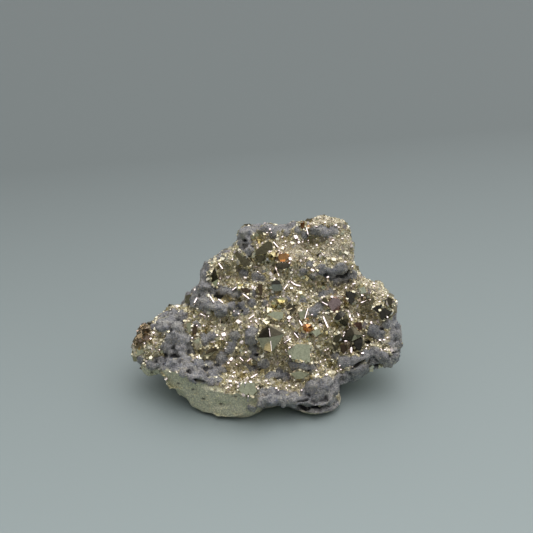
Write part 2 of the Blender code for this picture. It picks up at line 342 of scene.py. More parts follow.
def skin_holder(mesh):
    holder = bpy.data.objects.new("skin", mesh)
    bpy.context.scene.collection.objects.link(holder)
    return holder


def fused(mesh, smoothing):
    """The mesh with every overlap fused into one fine even skin."""
    holder = skin_holder(mesh)
    fuse = holder.modifiers.new("fuse", "REMESH")
    fuse.mode = "VOXEL"
    fuse.voxel_size = SKIN_VOXEL * MM
    soften = holder.modifiers.new("soften", "SMOOTH")
    soften.factor = 0.5
    soften.iterations = smoothing
    skin = applied(holder)
    bpy.data.objects.remove(holder)
    return skin


def bvh(*meshes):
    places, polygons = [], []
    for mesh in meshes:
        start = len(places)
        places += [vertex.co[:] for vertex in mesh.vertices]
        polygons += [[start + corner for corner in polygon.vertices] for polygon in mesh.polygons]
    return BVHTree.FromPolygons(places, polygons)


def smooth_skin():
    """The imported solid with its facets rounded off, drawn in to leave room for the growth on it."""
    shape = bmesh.new()
    shape.from_mesh(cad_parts[NODE].data)
    bmesh.ops.remove_doubles(shape, verts=shape.verts, dist=0.001 * MM)
    mesh = bpy.data.meshes.new("skin")
    shape.to_mesh(mesh)
    shape.free()
    skin = fused(mesh, SKIN_SMOOTHING)
    points, facing = coordinates(skin), normals(skin)
    pixels = VIEW.pixels(points)
    out = np.full(len(points), -SKIN_DRAWN_IN)
    for centre, wide, high, amount in SWELLS:
        out += amount * (1 - smoothstep(0.3, 1.2, ellipse(pixels, centre, wide, high)))
    moved = points + facing * (out * MM)[:, None]
    moved[:, 2] += SKIN_DRAWN_IN * MM * np.clip(1 - moved[:, 2] / (3 * MM), 0, 1)
    away = moved - np.array(VIEW.place)
    toward = -(facing * away).sum(1) / np.linalg.norm(away, axis=1)
    for centre, wide, high, amount in LIPS:
        pull = 1 - smoothstep(0.2, 1.15, ellipse(pixels, centre, wide, high))
        pull *= smoothstep(-0.5, 0.2, toward)
        moved -= away * (pull * amount * MM / np.linalg.norm(away, axis=1))[:, None]
    skin.vertices.foreach_set("co", moved.astype(np.float32).ravel())
    skin.update()
    return skin


def on_mass(tree, pixel):
    """The point of the mass that a pixel shows, or the nearest one where the ray just misses."""
    ray = VIEW.ray(*pixel)
    hit, way_out, _, _ = tree.ray_cast(VIEW.place, ray)
    if hit is not None:
        return hit, way_out
    steps = [VIEW.place + ray * distance * MM for distance in range(190, 340, 2)]
    found = [tree.find_nearest(step) for step in steps]
    best = min(found, key=lambda item: item[3])
    return best[0], best[1]


def sphere_points(level):
    shape = bmesh.new()
    bmesh.ops.create_icosphere(shape, subdivisions=level, radius=1.0)
    places = np.array([vertex.co[:] for vertex in shape.verts])
    faces = [[vertex.index for vertex in face.verts] for face in shape.faces]
    shape.free()
    return places, faces


def pixel_size(point):
    """Metres across one pixel at a point."""
    return (point - VIEW.place).dot(VIEW.forward) / VIEW.focal


def front_nodules(tree):
    """Centre, way out and radius in metres of each listed lump."""
    found = []
    for x, y, radius in NODULES:
        point, way_out = on_mass(tree, (x, y))
        size = radius * pixel_size(point)
        toward = way_out.dot((VIEW.place - point).normalized())
        at_edge = 1 - min(max(toward, 0.0) / 0.5, 1.0)
        found.append((point - way_out * size * 0.4 * at_edge, way_out, size))
    return found


def with_satellites(rng, lumps):
    """The lumps with smaller ones budding from them."""
    found = list(lumps)
    for centre, way_out, radius in lumps:
        side = way_out.orthogonal().normalized()
        for angle in rng.uniform(0, 2 * math.pi, SATELLITES):
            aside = Matrix.Rotation(angle, 3, way_out) @ side
            small = radius * rng.uniform(0.26, 0.42)
            lift = rng.uniform(-0.05, 0.50) * radius
            found.append((centre + aside * radius * 0.72 + way_out * lift, way_out, small))
    return found


def hidden_nodules(rng, skin, tree):
    """Lumps of crust over the sides that the camera doesn't see."""
    points, facing = coordinates(skin), normals(skin)
    crust, _ = hidden_pattern(points, facing)
    picks = rng.choice(len(points), 2600, replace=False)
    picks = [index for index in picks if crust[index] > 0.35]
    unseen = seen_from_camera(points[picks], facing[picks], tree) < 0.05
    found = []
    for index in np.array(picks)[unseen]:
        point = Vector(points[index])
        radius = rng.uniform(1.4, 2.9) * MM
        apart = all((point - other).length > 0.85 * (radius + size) for other, _, size in found)
        top = point + Vector(facing[index]) * radius
        shows = tree.ray_cast(top, VIEW.place - top)[0] is None
        if apart and facing[index][2] > -0.15 and not shows:
            found.append((point, Vector(facing[index]), radius))
    return found


def add_lumps(skin, rng, lumps):
    """The skin and all the lumps of crust as one loose mesh, ready to be fused."""
    sphere, faces = sphere_points(3)
    vertices = [coordinates(skin)]
    polygons = [list(polygon.vertices) for polygon in skin.polygons]
    start = len(vertices[0])
    for centre, way_out, radius in lumps:
        spin = way_out.to_track_quat("Z", "X").to_matrix()
        wobble = 1 + 0.20 * noise_at(sphere * MM, 0.8, rng.integers(1000))
        shape = sphere * wobble[:, None] * np.array((1.0, 1.0, 0.72)) * radius
        placed = shape @ np.array(spin).T + np.array(centre - way_out * radius * NODULE_SUNK)
        vertices.append(placed)
        polygons += [[start + corner for corner in face] for face in faces]
        start += len(placed)
    mesh = bpy.data.meshes.new("lumps")
    places = np.concatenate(vertices)
    places[:, 2] = np.maximum(places[:, 2], 0.05 * MM)
    mesh.from_pydata(places.tolist(), [], polygons)
    return mesh


def tube(path, thickness):
    """A rounded ridge along a path of points, as vertices and faces."""
    ring = 10
    vertices, faces = [], []
    for number, point in enumerate(path):
        along = (path[min(number + 1, len(path) - 1)] - path[max(number - 1, 0)]).normalized()
        aside = along.cross(VIEW.forward).normalized()
        ahead = along.cross(aside).normalized()
        share = math.sin(math.pi * (number + 0.6) / (len(path) + 0.2)) ** 0.5
        for corner in range(ring):
            angle = 2 * math.pi * corner / ring
            reach = aside * math.cos(angle) * 0.8 + ahead * math.sin(angle) * 2.2
            vertices.append(point + reach * thickness * share * MM)
    for number in range(len(path) - 1):
        for corner in range(ring):
            a = number * ring + corner
            b = number * ring + (corner + 1) % ring
            faces.append([a, b, b + ring, a + ring])
    faces.append(list(range(ring))[::-1])
    faces.append(list(range((len(path) - 1) * ring, len(path) * ring)))
    return vertices, faces


def add_shells(mesh, tree):
    """Adds the curled shells of crust to the loose mesh."""
    places = [vertex.co[:] for vertex in mesh.vertices]
    polygons = [list(polygon.vertices) for polygon in mesh.polygons]
    for pixels, thickness in SHELLS:
        path = [on_mass(tree, pixel)[0] for pixel in pixels]
        path = [point - VIEW.forward * 0.6 * MM for point in path]
        vertices, faces = tube(path, thickness)
        start = len(places)
        places += [vertex[:] for vertex in vertices]
        polygons += [[start + corner for corner in face] for face in faces]
    whole = bpy.data.meshes.new("whole")
    whole.from_pydata(places, [], polygons)
    return whole


def nearness(points, lumps):
    """1 on and close around the lumps of crust, 0 away from them."""
    near = np.zeros(len(points))
    for centre, _, radius in lumps:
        distance = np.linalg.norm(points - np.array(centre), axis=1) / radius
        near = np.maximum(near, 1 - smoothstep(1.0, 1.22, distance))
    return near


def hollows(mesh, points, facing):
    """How far each point lies below its surroundings, in millimetres."""
    edges = np.empty(len(mesh.edges) * 2, np.int32)
    mesh.edges.foreach_get("vertices", edges)
    first, second = edges.reshape(-1, 2).T
    count = np.bincount(first, minlength=len(points)) + np.bincount(second, minlength=len(points))
    spread = points.copy()
    for _ in range(14):
        total = np.zeros_like(points)
        for axis in range(3):
            total[:, axis] = (np.bincount(first, spread[second, axis], len(points))
                              + np.bincount(second, spread[first, axis], len(points)))
        spread = total / count[:, None]
    return ((spread - points) * facing).sum(1) / MM


def evened(points, facing, zones):
    """The points with those of the pale broken face drawn onto one gently curved sheet."""
    pixels = VIEW.pixels(points)
    away = points - np.array(VIEW.place)
    depth = away @ np.array(VIEW.forward)
    x, y = (pixels[:, 0] - 205) / 50, (pixels[:, 1] - 390) / 25
    terms = np.stack([np.ones(len(points)), x, y, x * x, x * y], 1)
    on_face = zones.massive * zones.front * (1 - smoothstep(1.2, 1.5, np.hypot(x, y)))
    toward = -(facing * away).sum(1) / np.linalg.norm(away, axis=1)
    chosen = (on_face > 0.8) & (toward > 0.3)
    fit = np.linalg.lstsq(terms[chosen], depth[chosen], rcond=None)[0]
    behind = np.percentile(depth[chosen] - terms[chosen] @ fit, 80)
    shift = np.clip(terms @ fit + behind - depth, 0, 4 * MM) * on_face * smoothstep(0.1, 0.35, toward)
    return points + away * (shift / depth)[:, None]


def relief(points, zones):
    """How far each point of the skin moves out, in millimetres."""
    knobs = 0.40 * (domes_at(points, 1.7, 2) - 0.7)
    grain = 0.16 * noise_at(points, 1.0, 5) + 0.08 * noise_at(points, 0.5, 6)
    crust = knobs + grain
    rough = 0.45 * noise_at(points, 2.0, 6) + 0.22 * noise_at(points, 0.8, 7)
    flat = 0.12 * noise_at(points, 2.4, 8) + 0.10 * noise_at(points, 0.9, 9)
    out = zones.crust * crust + zones.glitter * (rough - 0.25) + zones.massive * flat
    return out - zones.gap_depth


def set_colours(mesh, name, colours):
    layer = mesh.color_attributes.new(name, "FLOAT_COLOR", "POINT")
    full = np.ones((len(mesh.vertices), 4), np.float32)
    full[:, :colours.shape[1]] = colours
    layer.data.foreach_set("color", full.ravel())


def make_mass(rng):
    """The mass with its lumps of crust; returns its mesh, its zones and a tree of its skin."""
    smooth = smooth_skin()
    smooth_tree = bvh(smooth)
    lumps = front_nodules(smooth_tree) + hidden_nodules(rng, smooth, smooth_tree)
    lumps = with_satellites(rng, lumps)
    loose = add_shells(add_lumps(smooth, rng, lumps), smooth_tree)
    skin = fused(loose, 1)
    points, facing = coordinates(skin), normals(skin)
    skin_tree = bvh(skin)
    zones = Zones(points, facing, skin_tree, nearness(points, lumps))
    moved = evened(points, facing, zones)
    moved += facing * (relief(points, zones) * MM)[:, None]
    under_crystal = zones.front * ~clear_of_crystals(points)
    moved += np.array(VIEW.forward) * (under_crystal * SOCKET_DEPTH * MM)[:, None]
    moved[:, 2] = np.maximum(moved[:, 2], 0.0)
    skin.vertices.foreach_set("co", moved.astype(np.float32).ravel())
    skin.update()
    hollow = smoothstep(0.04, 0.45, hollows(skin, moved, normals(skin))) * zones.crust
    moved -= normals(skin) * (hollow * CREASE_DEPTH * MM)[:, None]
    moved[:, 2] = np.maximum(moved[:, 2], 0.0)
    skin.vertices.foreach_set("co", moved.astype(np.float32).ravel())
    skin.update()
    zones.hollow = hollow
    # Painted shade: the gaps and the creases between lumps get a near-black colour, standing in for the shade
    # deep inside them.
    dark = np.maximum(zones.gap, hollow * 0.9)
    set_colours(skin, "zones", np.stack([zones.crust, zones.massive, dark], 1))
    skin.shade_smooth()
    piece = new_piece("mass", skin, mass_material())
    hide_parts(NODE)
    return skin, moved, zones, skin_tree


# ---------------------------------------------------------------- crystals

def hull(points):
    """A convex crystal through these points, as vertices and flat faces."""
    shape = bmesh.new()
    for point in points:
        shape.verts.new(point)
    bmesh.ops.convex_hull(shape, input=shape.verts)
    bmesh.ops.dissolve_limit(shape, angle_limit=math.radians(2), verts=shape.verts, edges=shape.edges)
    return shape


def cube_points():
    return [(x, y, z) for x in (-1, 1) for y in (-1, 1) for z in (-1, 1)]


def octahedron_points():
    return [(1, 0, 0), (-1, 0, 0), (0, 1, 0), (0, -1, 0), (0, 0, 1), (0, 0, -1)]


def pyritohedron_points():
    """Twelve five-sided faces, the form that pyrite is named for."""
    long, short = 1.18, 0.59
    rim = [(0, a * long, b * short) for a in (-1, 1) for b in (-1, 1)]
    rim += [(b * short, 0, a * long) for a in (-1, 1) for b in (-1, 1)]
    rim += [(a * long, b * short, 0) for a in (-1, 1) for b in (-1, 1)]
    return [(x * 0.79, y * 0.79, z * 0.79) for x, y, z in cube_points()] + rim


CRYSTAL_POINTS = {
    "cube": cube_points,
    "octahedron": octahedron_points,
    "pyritohedron": pyritohedron_points,
    "bar": lambda: [(x * 0.5, y * 1.4, z * 0.7) for x, y, z in cube_points()],
}


def crystal_arrays(kind, bevel):
    """Vertices, and faces as lists of vertex numbers, of one crystal of half size 1."""
    shape = hull(CRYSTAL_POINTS[kind]())
    if bevel:
        bmesh.ops.bevel(shape, geom=shape.edges[:] + shape.verts[:], offset=bevel, segments=1,
                        profile=0.5, affect="EDGES")
    shape.verts.ensure_lookup_table()
    vertices = np.array([vertex.co[:] for vertex in shape.verts])
    faces = [[vertex.index for vertex in face.verts] for face in shape.faces]
    shape.free()
    return vertices, faces


class Heap:
    """Many crystals gathered into one mesh, each with a tint."""

    def __init__(self):
        self.vertices, self.faces, self.tints, self.count = [], [], [], 0

    def add(self, arrays, matrix, tint):
        vertices, faces = arrays
        rotation = np.array(matrix.to_3x3())
        placed = vertices @ rotation.T + np.array(matrix.translation)
        self.vertices.append(placed)
        self.faces += [[index + self.count for index in face] for face in faces]
        self.tints.append(np.tile(tint, (len(vertices), 1)))
        self.count += len(vertices)

    def piece(self, name, material, slot):
        mesh = bpy.data.meshes.new(name)
        places = np.concatenate(self.vertices)
        places[:, 2] = np.maximum(places[:, 2], 0.0)
        mesh.from_pydata(places.tolist(), [], self.faces)
        set_colours(mesh, "tint", np.concatenate(self.tints))
        mesh.update()
        return new_piece(name, mesh, material)


# ---------------------------------------------------------------- materials

def node_tools(name):
    material = bpy.data.materials.new(name)
    material.use_nodes = True
    tree = material.node_tree
    shader = tree.nodes["Principled BSDF"]

    def add(kind, **settings):
        node = tree.nodes.new(kind)
        for key, value in settings.items():
            setattr(node, key, value)
        return node

    def join(source, target):
        tree.links.new(source, target)

    return material, shader, add, join


def set_inputs(node, values):
    for name, value in values.items():
        node.inputs[name].default_value = value


def mass_material():
    """Grey crust, pale massive pyrite and rough pyrite, by the zones of the surface, with painted shade
    near-black in the gaps and in the creases between lumps.
    """
    material, shader, add, join = node_tools("mass")
    zones = add("ShaderNodeVertexColor", layer_name="zones")
    parts = add("ShaderNodeSeparateColor")
    join(zones.outputs["Color"], parts.inputs["Color"])
    where = add("ShaderNodeTexCoord")

    def pattern(kind, scale, **values):
        node = add(kind)
        join(where.outputs["Object"], node.inputs["Vector"])
        set_inputs(node, {"Scale": scale, **values})
        return node

    def ramp(source, stops):
        node = add("ShaderNodeValToRGB")
        elements = node.color_ramp.elements
        while len(elements) < len(stops):
            elements.new(0.5)
        for element, (place, colour) in zip(elements, stops):
            element.position = place
            element.color = (*colour, 1.0)
        join(source, node.inputs["Fac"])
        return node

    def mix(factor, first, second):
        node = add("ShaderNodeMix", data_type="RGBA")
        join(factor, node.inputs["Factor"])
        join(first, node.inputs["A"])
        join(second, node.inputs["B"])
        return node.outputs["Result"]

    patch = pattern("ShaderNodeTexNoise", 260.0, Detail=6.0, Roughness=0.7)
    speck = pattern("ShaderNodeTexNoise", 2600.0, Detail=3.0, Roughness=0.7)
    crust = ramp(patch.outputs["Fac"], ((0.30, (0.20, 0.205, 0.22)), (0.5, (0.35, 0.355, 0.35)),
                                        (0.68, (0.48, 0.48, 0.43))))
    crust_speck = ramp(speck.outputs["Fac"], ((0.36, (0.35, 0.35, 0.36)), (0.55, (1.0, 1.0, 1.0)),
                                              (0.72, (1.9, 1.85, 1.7))))
    crust_colour = add("ShaderNodeMix", data_type="RGBA", blend_type="MULTIPLY")
    crust_colour.inputs["Factor"].default_value = 1.0
    join(crust.outputs["Color"], crust_colour.inputs["A"])
    join(crust_speck.outputs["Color"], crust_colour.inputs["B"])
    coarse = pattern("ShaderNodeTexNoise", 1900.0, Detail=4.0, Roughness=0.8)
    massive = ramp(coarse.outputs["Fac"], ((0.38, (0.44, 0.445, 0.33)), (0.5, (0.68, 0.69, 0.51)),
                                           (0.62, (0.92, 0.91, 0.66))))
    pyrite = ramp(speck.outputs["Fac"], ((0.36, (0.42, 0.38, 0.28)), (0.5, (0.74, 0.68, 0.49)),
                                         (0.66, (0.95, 0.89, 0.67))))
    first = mix(parts.outputs["Red"], pyrite.outputs["Color"], crust_colour.outputs["Result"])
    second = mix(parts.outputs["Green"], first, massive.outputs["Color"])
    # Painted shade: near-black blended in by the third zone channel, in the gaps and creases.
    dark = add("ShaderNodeRGB")
    dark.outputs[0].default_value = (0.02, 0.02, 0.022, 1.0)
    join(mix(parts.outputs["Blue"], second, dark.outputs[0]), shader.inputs["Base Color"])

    metal = add("ShaderNodeMath", operation="MULTIPLY_ADD", use_clamp=True)
    join(parts.outputs["Red"], metal.inputs[0])
    metal.inputs[1].default_value = -0.20
    metal.inputs[2].default_value = 0.25
    join(metal.outputs[0], shader.inputs["Metallic"])
    rough = add("ShaderNodeMapRange")
    set_inputs(rough, {"From Min": 0.3, "From Max": 0.7, "To Min": 0.45, "To Max": 0.70})
    join(speck.outputs["Fac"], rough.inputs["Value"])
    join(rough.outputs["Result"], shader.inputs["Roughness"])
    bump = add("ShaderNodeBump")
    set_inputs(bump, {"Strength": 0.7, "Distance": 0.12 * MM})
    join(speck.outputs["Fac"], bump.inputs["Height"])
    join(bump.outputs["Normal"], shader.inputs["Normal"])
    return material


def crystal_material(name, roughness, metallic=1.0):
    """Bare pyrite metal, with each crystal's own tint and fine growth lines."""
    material, shader, add, join = node_tools(name)
    tint = add("ShaderNodeVertexColor", layer_name="tint")
    where = add("ShaderNodeTexCoord")
    cloud = add("ShaderNodeTexNoise")
    join(where.outputs["Object"], cloud.inputs["Vector"])
    set_inputs(cloud, {"Scale": 1500.0, "Detail": 5.0, "Roughness": 0.7})
    shade = add("ShaderNodeMapRange")
    set_inputs(shade, {"From Min": 0.3, "From Max": 0.7, "To Min": 0.62, "To Max": 1.15})
    join(cloud.outputs["Fac"], shade.inputs["Value"])
    colour = add("ShaderNodeVectorMath", operation="SCALE")
    join(tint.outputs["Color"], colour.inputs[0])
    join(shade.outputs["Result"], colour.inputs["Scale"])
    join(colour.outputs["Vector"], shader.inputs["Base Color"])
    set_inputs(shader, {"Metallic": metallic, "Roughness": roughness})
    return material


def grain_material(name, cool=(1.0, 1.0, 1.0), warm=(1.0, 1.0, 1.0)):
    """Dull mineral grains with a weak glassy shine, in cooler and warmer patches."""
    material, shader, add, join = node_tools(name)
    tint = add("ShaderNodeVertexColor", layer_name="tint")
    where = add("ShaderNodeTexCoord")
    cloud = add("ShaderNodeTexNoise")
    join(where.outputs["Object"], cloud.inputs["Vector"])
    set_inputs(cloud, {"Scale": 500.0, "Detail": 4.0})
    shade = add("ShaderNodeMapRange")
    set_inputs(shade, {"From Min": 0.3, "From Max": 0.7, "To Min": 0.7, "To Max": 1.2})
    join(cloud.outputs["Fac"], shade.inputs["Value"])
    colour = add("ShaderNodeVectorMath", operation="SCALE")
    join(tint.outputs["Color"], colour.inputs[0])
    join(shade.outputs["Result"], colour.inputs["Scale"])
    stain = add("ShaderNodeTexNoise")
    join(where.outputs["Object"], stain.inputs["Vector"])
    set_inputs(stain, {"Scale": 230.0, "Detail": 5.0, "Roughness": 0.65})
    hue = add("ShaderNodeValToRGB")
    for element, place, shift in zip(hue.color_ramp.elements, (0.40, 0.60), (cool, warm)):
        element.position = place
        element.color = (*shift, 1.0)
    join(stain.outputs["Fac"], hue.inputs["Fac"])
    stained = add("ShaderNodeVectorMath", operation="MULTIPLY")
    join(colour.outputs["Vector"], stained.inputs[0])
    join(hue.outputs["Color"], stained.inputs[1])
    join(stained.outputs["Vector"], shader.inputs["Base Color"])
    set_inputs(shader, {"Metallic": 0.25, "Roughness": 0.5})
    return material


# ---------------------------------------------------------------- named crystals

# Painted reflection: PYRITE is the crystals' own brass colour; KHAKI and BRASS are lighter copies of it, OLIVE a
# greener one, DULL and DARK darker ones, painting into each named crystal the pale, bright or dark reflection its
# faces show. AMBER, ORANGE, RUSSET and PURPLE are tarnish. BROWN is brown tarnish, and on the crystals named left
# shade and shade by knob it is painted shade.
PYRITE = (0.66, 0.59, 0.40)
# FLASH is pyrite whitened and tinged pink: the flashing faces really mirror the main light, and this tint paints
# in the colour of a blown highlight.
FLASH = (0.86, 0.78, 0.76)
KHAKI = (0.90, 0.82, 0.58)
DARK = (0.37, 0.36, 0.30)
DULL = (0.50, 0.46, 0.32)
BRASS = (0.84, 0.76, 0.42)
OLIVE = (0.66, 0.62, 0.38)
BROWN = (0.58, 0.44, 0.29)
AMBER = (0.90, 0.74, 0.46)
ORANGE = (0.95, 0.45, 0.19)
RUSSET = (0.50, 0.31, 0.23)
PURPLE = (0.58, 0.39, 0.38)

# Crystals with flat faces that can be told apart. Name, tint, and the corners: pixel across, pixel
# down, and millimetres that the corner stands out from the mass toward the camera.
NAMED_CRYSTALS = (
    ("great octahedron", DULL, ((268.8, 325.5, 2.8), (262.3, 329.2, 2.0), (257.5, 338, 1.5),
        (262.5, 349.5, 0.45), (271.6, 352.5, 1.0), (284.6, 334, 1.5), (278.5, 327.5, 1.8),
        (270.3, 337.3, 3.0))),
    ("pale step", KHAKI, ((287.6, 351, 1.5), (296.6, 344, 3.3), (309.8, 344.6, 3.3),
        (310.4, 362.6, 0.9), (289.6, 358.4, 1.3))),
    ("green facet", KHAKI, ((267.4, 314.5, 1.6), (274, 311.2, 2.05), (283.6, 312.2, 1.9),
        (282.6, 318.4, 1.05), (276, 321, 0.7))),
    ("dark olive", OLIVE, ((254.6, 255, 1.5), (256, 250, 1.5), (261, 246.5, 1.7), (268.3, 240.8, 1.7),
        (272.3, 243.3, 1.7), (273, 249.5, 1.7), (266, 254, 1.7))),
    ("dark olive foot", OLIVE, ((255, 256, 1.3), (265.6, 254.6, 1.5), (264.8, 259.5, 1.3),
        (260.5, 263.3, 1.2), (257.5, 260.5, 1.2))),
    ("long green", OLIVE, ((237.5, 250.5, 1.0), (251.2, 263, 1.1), (250.2, 266, 1.1),
        (244, 267, 1.0), (235.2, 256, 1.0), (235.3, 252.3, 1.0))),
    ("long green edge", PYRITE, ((238.3, 249.6, 1.0), (239.8, 250, 1.0), (251.4, 261.3, 1.1),
        (251.2, 263, 1.1))),
    ("upper dark", KHAKI, ((276, 263.6, 1.3), (284.5, 261.8, 1.4), (289, 264, 1.4),
        (291, 266.5, 1.3), (284, 269, 1.2), (278, 269.3, 1.1))),
    ("middle dark", DARK, ((271.2, 284.6, 1.7), (272.4, 281.2, 1.7), (276, 279.8, 1.7),
        (279.8, 280.8, 1.7), (281, 284.3, 1.7), (282.8, 290.8, 0.5), (273, 291.3, 0.4))),
    ("brown bar", BROWN, ((258.3, 284, 1.2), (262.4, 284.4, 1.2), (262.3, 295.2, 1.2),
        (257.8, 294.8, 1.2))),
    ("left brown", BROWN, ((240.5, 288.4, 1.0), (246, 287.8, 1.0), (250.8, 289.8, 1.0),
        (250.4, 294.6, 1.0), (244.6, 292.4, 1.0))),
    ("purple", PURPLE, ((327.8, 304, 1.9), (332.4, 297.6, 2.8), (340.4, 299.2, 2.7),
        (340.6, 309.4, 1.2), (333.6, 313.2, 0.6))),
    ("shoulder dark", DARK, ((345.9, 291, 1.6), (350, 291.6, 1.6), (355.8, 293.2, 1.6),
        (353.8, 297.5, 1.6), (353.6, 301.5, 1.6), (351, 305.5, 1.6), (349.2, 301, 1.5),
        (346.2, 295.5, 1.5))),
    ("shoulder bright", BRASS, ((343, 296, 1.2), (345.8, 296.6, 1.7), (348.9, 303.5, 1.3),
        (347.6, 306, 0.9), (344, 302, 0.8))),
    ("right dark", DARK, ((334, 318.3, 1.5), (337.4, 312.8, 1.8), (341, 310.6, 1.9),
        (345.6, 313.4, 1.9), (342, 318, 2.3), (337.5, 320.5, 1.9))),
    ("right dark foot", OLIVE, ((346, 314, 1.6), (348.6, 319, 1.6), (348, 324.5, 1.5),
        (344.4, 326.3, 1.4), (338.6, 321.6, 1.7), (342.6, 318.6, 1.8))),
    ("cross left", DARK, ((372.2, 308.4, 1.4), (376, 306.2, 1.5), (382.6, 304.2, 1.6),
        (380.8, 308.8, 1.5), (378, 312.8, 1.4), (375.6, 310.3, 1.4))),
    ("cross right", DARK, ((380.3, 311, 1.4), (384, 307.6, 1.5), (391.6, 311.8, 1.4),
        (390, 314.2, 1.4), (386.2, 315.6, 1.5), (383.2, 319.8, 1.4), (380.4, 319.4, 1.3))),
    ("rim dark", DULL, ((388, 296.3, 1.1), (391.8, 298.8, 1.1), (392.6, 302.8, 1.1),
        (391, 305.2, 1.1), (388.4, 305, 1.1), (387.4, 301, 1.1))),
    ("rim small", DARK, ((384.5, 299.7, 1.0), (386.6, 300, 1.0), (387.2, 304.8, 1.0),
        (385, 304, 1.0))),
    ("right great", DULL, ((350.3, 326.2, 2.4), (346, 333, 2.2), (343.2, 338.3, 2.0),
        (351.6, 340.8, 2.2), (357.5, 338.4, 2.3), (363.6, 335.4, 2.2), (359.4, 331.6, 2.3),
        (355.8, 328.8, 2.4), (353, 326.8, 2.4), (354.5, 334.2, 2.8))),
    ("right great foot", DARK, ((353.6, 342.2, 1.8), (358, 339.7, 1.8), (362.8, 337.6, 1.8),
        (362.6, 343, 1.8), (361.2, 349.4, 1.7), (358.6, 350.6, 1.7), (355, 347.4, 1.7))),
    ("russet", RUSSET, ((352.8, 324.8, 1.6), (356.6, 322.2, 1.6), (361.4, 322.6, 1.6),
        (362.4, 329, 1.5), (359.8, 330.6, 1.5), (356, 327.8, 1.6))),
    ("right olive", OLIVE, ((333.2, 341.5, 1.4), (334.2, 335.8, 1.5), (338, 333.2, 1.6),
        (341.2, 334.6, 1.6), (339.6, 340, 1.5), (336.6, 342.6, 1.4))),
    ("low brown", BROWN, ((340.2, 345.2, 1.2), (345.8, 344.2, 1.2), (346, 351.2, 1.1),
        (343.2, 354.2, 1.1), (340.8, 350.8, 1.1))),
    ("low olive", OLIVE, ((331.6, 343.4, 1.2), (336.2, 343.8, 1.2), (338, 349.3, 1.2),
        (334.6, 351, 1.1))),
    ("gold knob", BRASS, ((268.9, 254, 1.2), (271.5, 251.6, 1.3), (275.3, 252.4, 1.2),
        (276.6, 256, 1.4), (274.8, 260, 1.1), (270.8, 260.7, 1.1), (268.6, 257.4, 1.1),
        (271.6, 254.4, 2.8), (274, 257.2, 2.9), (271, 258, 2.6))),
    ("upper tarnish", ORANGE, ((278.3, 257.6, 1.6), (281, 253.4, 2.2), (287.2, 253.7, 2.2),
        (288.8, 257.4, 1.7), (284.2, 261.7, 1.2), (279.4, 261.2, 1.2))),
    ("middle tarnish", ORANGE, ((302.8, 326, 1.4), (306, 324.2, 1.9), (311, 325, 2.0),
        (312.6, 329, 1.6), (309, 331.4, 1.2), (303.6, 330.2, 1.2), (307, 327.6, 2.4))),
    ("ridge tarnish", ORANGE, ((300.4, 223, 1.2), (304.6, 222.3, 1.4), (304.8, 228, 0.8),
        (301.5, 228.2, 0.8))),
    ("low khaki", KHAKI, ((238.4, 389.6, 0.8), (243, 382.4, 1.9), (254.6, 383, 1.8),
        (256.8, 391.2, 0.55), (252.4, 396.2, -0.2), (243, 394.6, 0.05))),
    ("ledge khaki", PYRITE, ((290.6, 373, 2.25), (299, 371, 2.5), (309.3, 373.4, 2.2),
        (303, 378.8, 1.5), (295.4, 379, 1.45))),
    ("small khaki", PYRITE, ((298.6, 312.5, 1.85), (304.6, 309.6, 2.25), (307.6, 313, 1.8),
        (305.4, 320.8, 0.7), (300.4, 320.4, 0.75))),
    ("middle khaki", KHAKI, ((311.8, 331.5, 1.8), (318.5, 329, 2.1), (321.4, 333, 1.6),
        (316, 337, 1.05))),
    ("amber", AMBER, ((203.6, 355.2, 1.5), (209.6, 348.4, 1.5), (216.6, 347.2, 1.5),
        (217.6, 350.6, 1.4), (212, 355.6, 1.2), (206, 357.4, 1.2))),
    ("left striped", PYRITE, ((186.3, 323.6, 1.8), (190.6, 321.8, 2.2), (192.2, 332, 0.8),
        (188.4, 334.8, 0.4))),
    ("left shade", BROWN, ((192.2, 325.5, 1.2), (197.6, 326.5, 1.2), (196.4, 333.5, 1.2),
        (192.4, 334.6, 1.2))),
    ("left green", KHAKI, ((192.8, 341.3, 1.8), (199.3, 337.8, 2.4), (200.3, 346, 1.2),
        (196, 350.3, 0.4))),
    ("tall green", OLIVE, ((211.3, 283, 0.6), (212, 272, 1.2), (215, 267.6, 1.6),
        (218.2, 279, 1.8), (216.6, 286.3, 0.8))),
    ("yellow left", BRASS, ((236, 285.6, 1.4), (240.2, 283.6, 1.8), (242, 286.4, 1.4),
        (238.6, 288.6, 1.0))),
    ("yellow middle", BRASS, ((276.4, 299.4, 1.6), (281, 297, 2.0), (285.6, 299.6, 1.8),
        (284.8, 303, 1.2), (279, 302.8, 1.0))),
    ("yellow small", BRASS, ((270.8, 304, 1.4), (274, 301.4, 1.8), (276.4, 305.4, 1.4),
        (273.4, 308.4, 0.8))),
    ("shade by knob", BROWN, ((275.8, 252.4, 1.2), (279.2, 251.6, 1.2), (280.2, 256.4, 1.2),
        (279.4, 262, 1.2), (276.2, 260.4, 1.2))),
    ("olive middle", OLIVE, ((321.6, 299, 1.2), (325.6, 297.3, 1.2), (328, 300.6, 1.2),
        (325.4, 302.8, 1.2))),
)

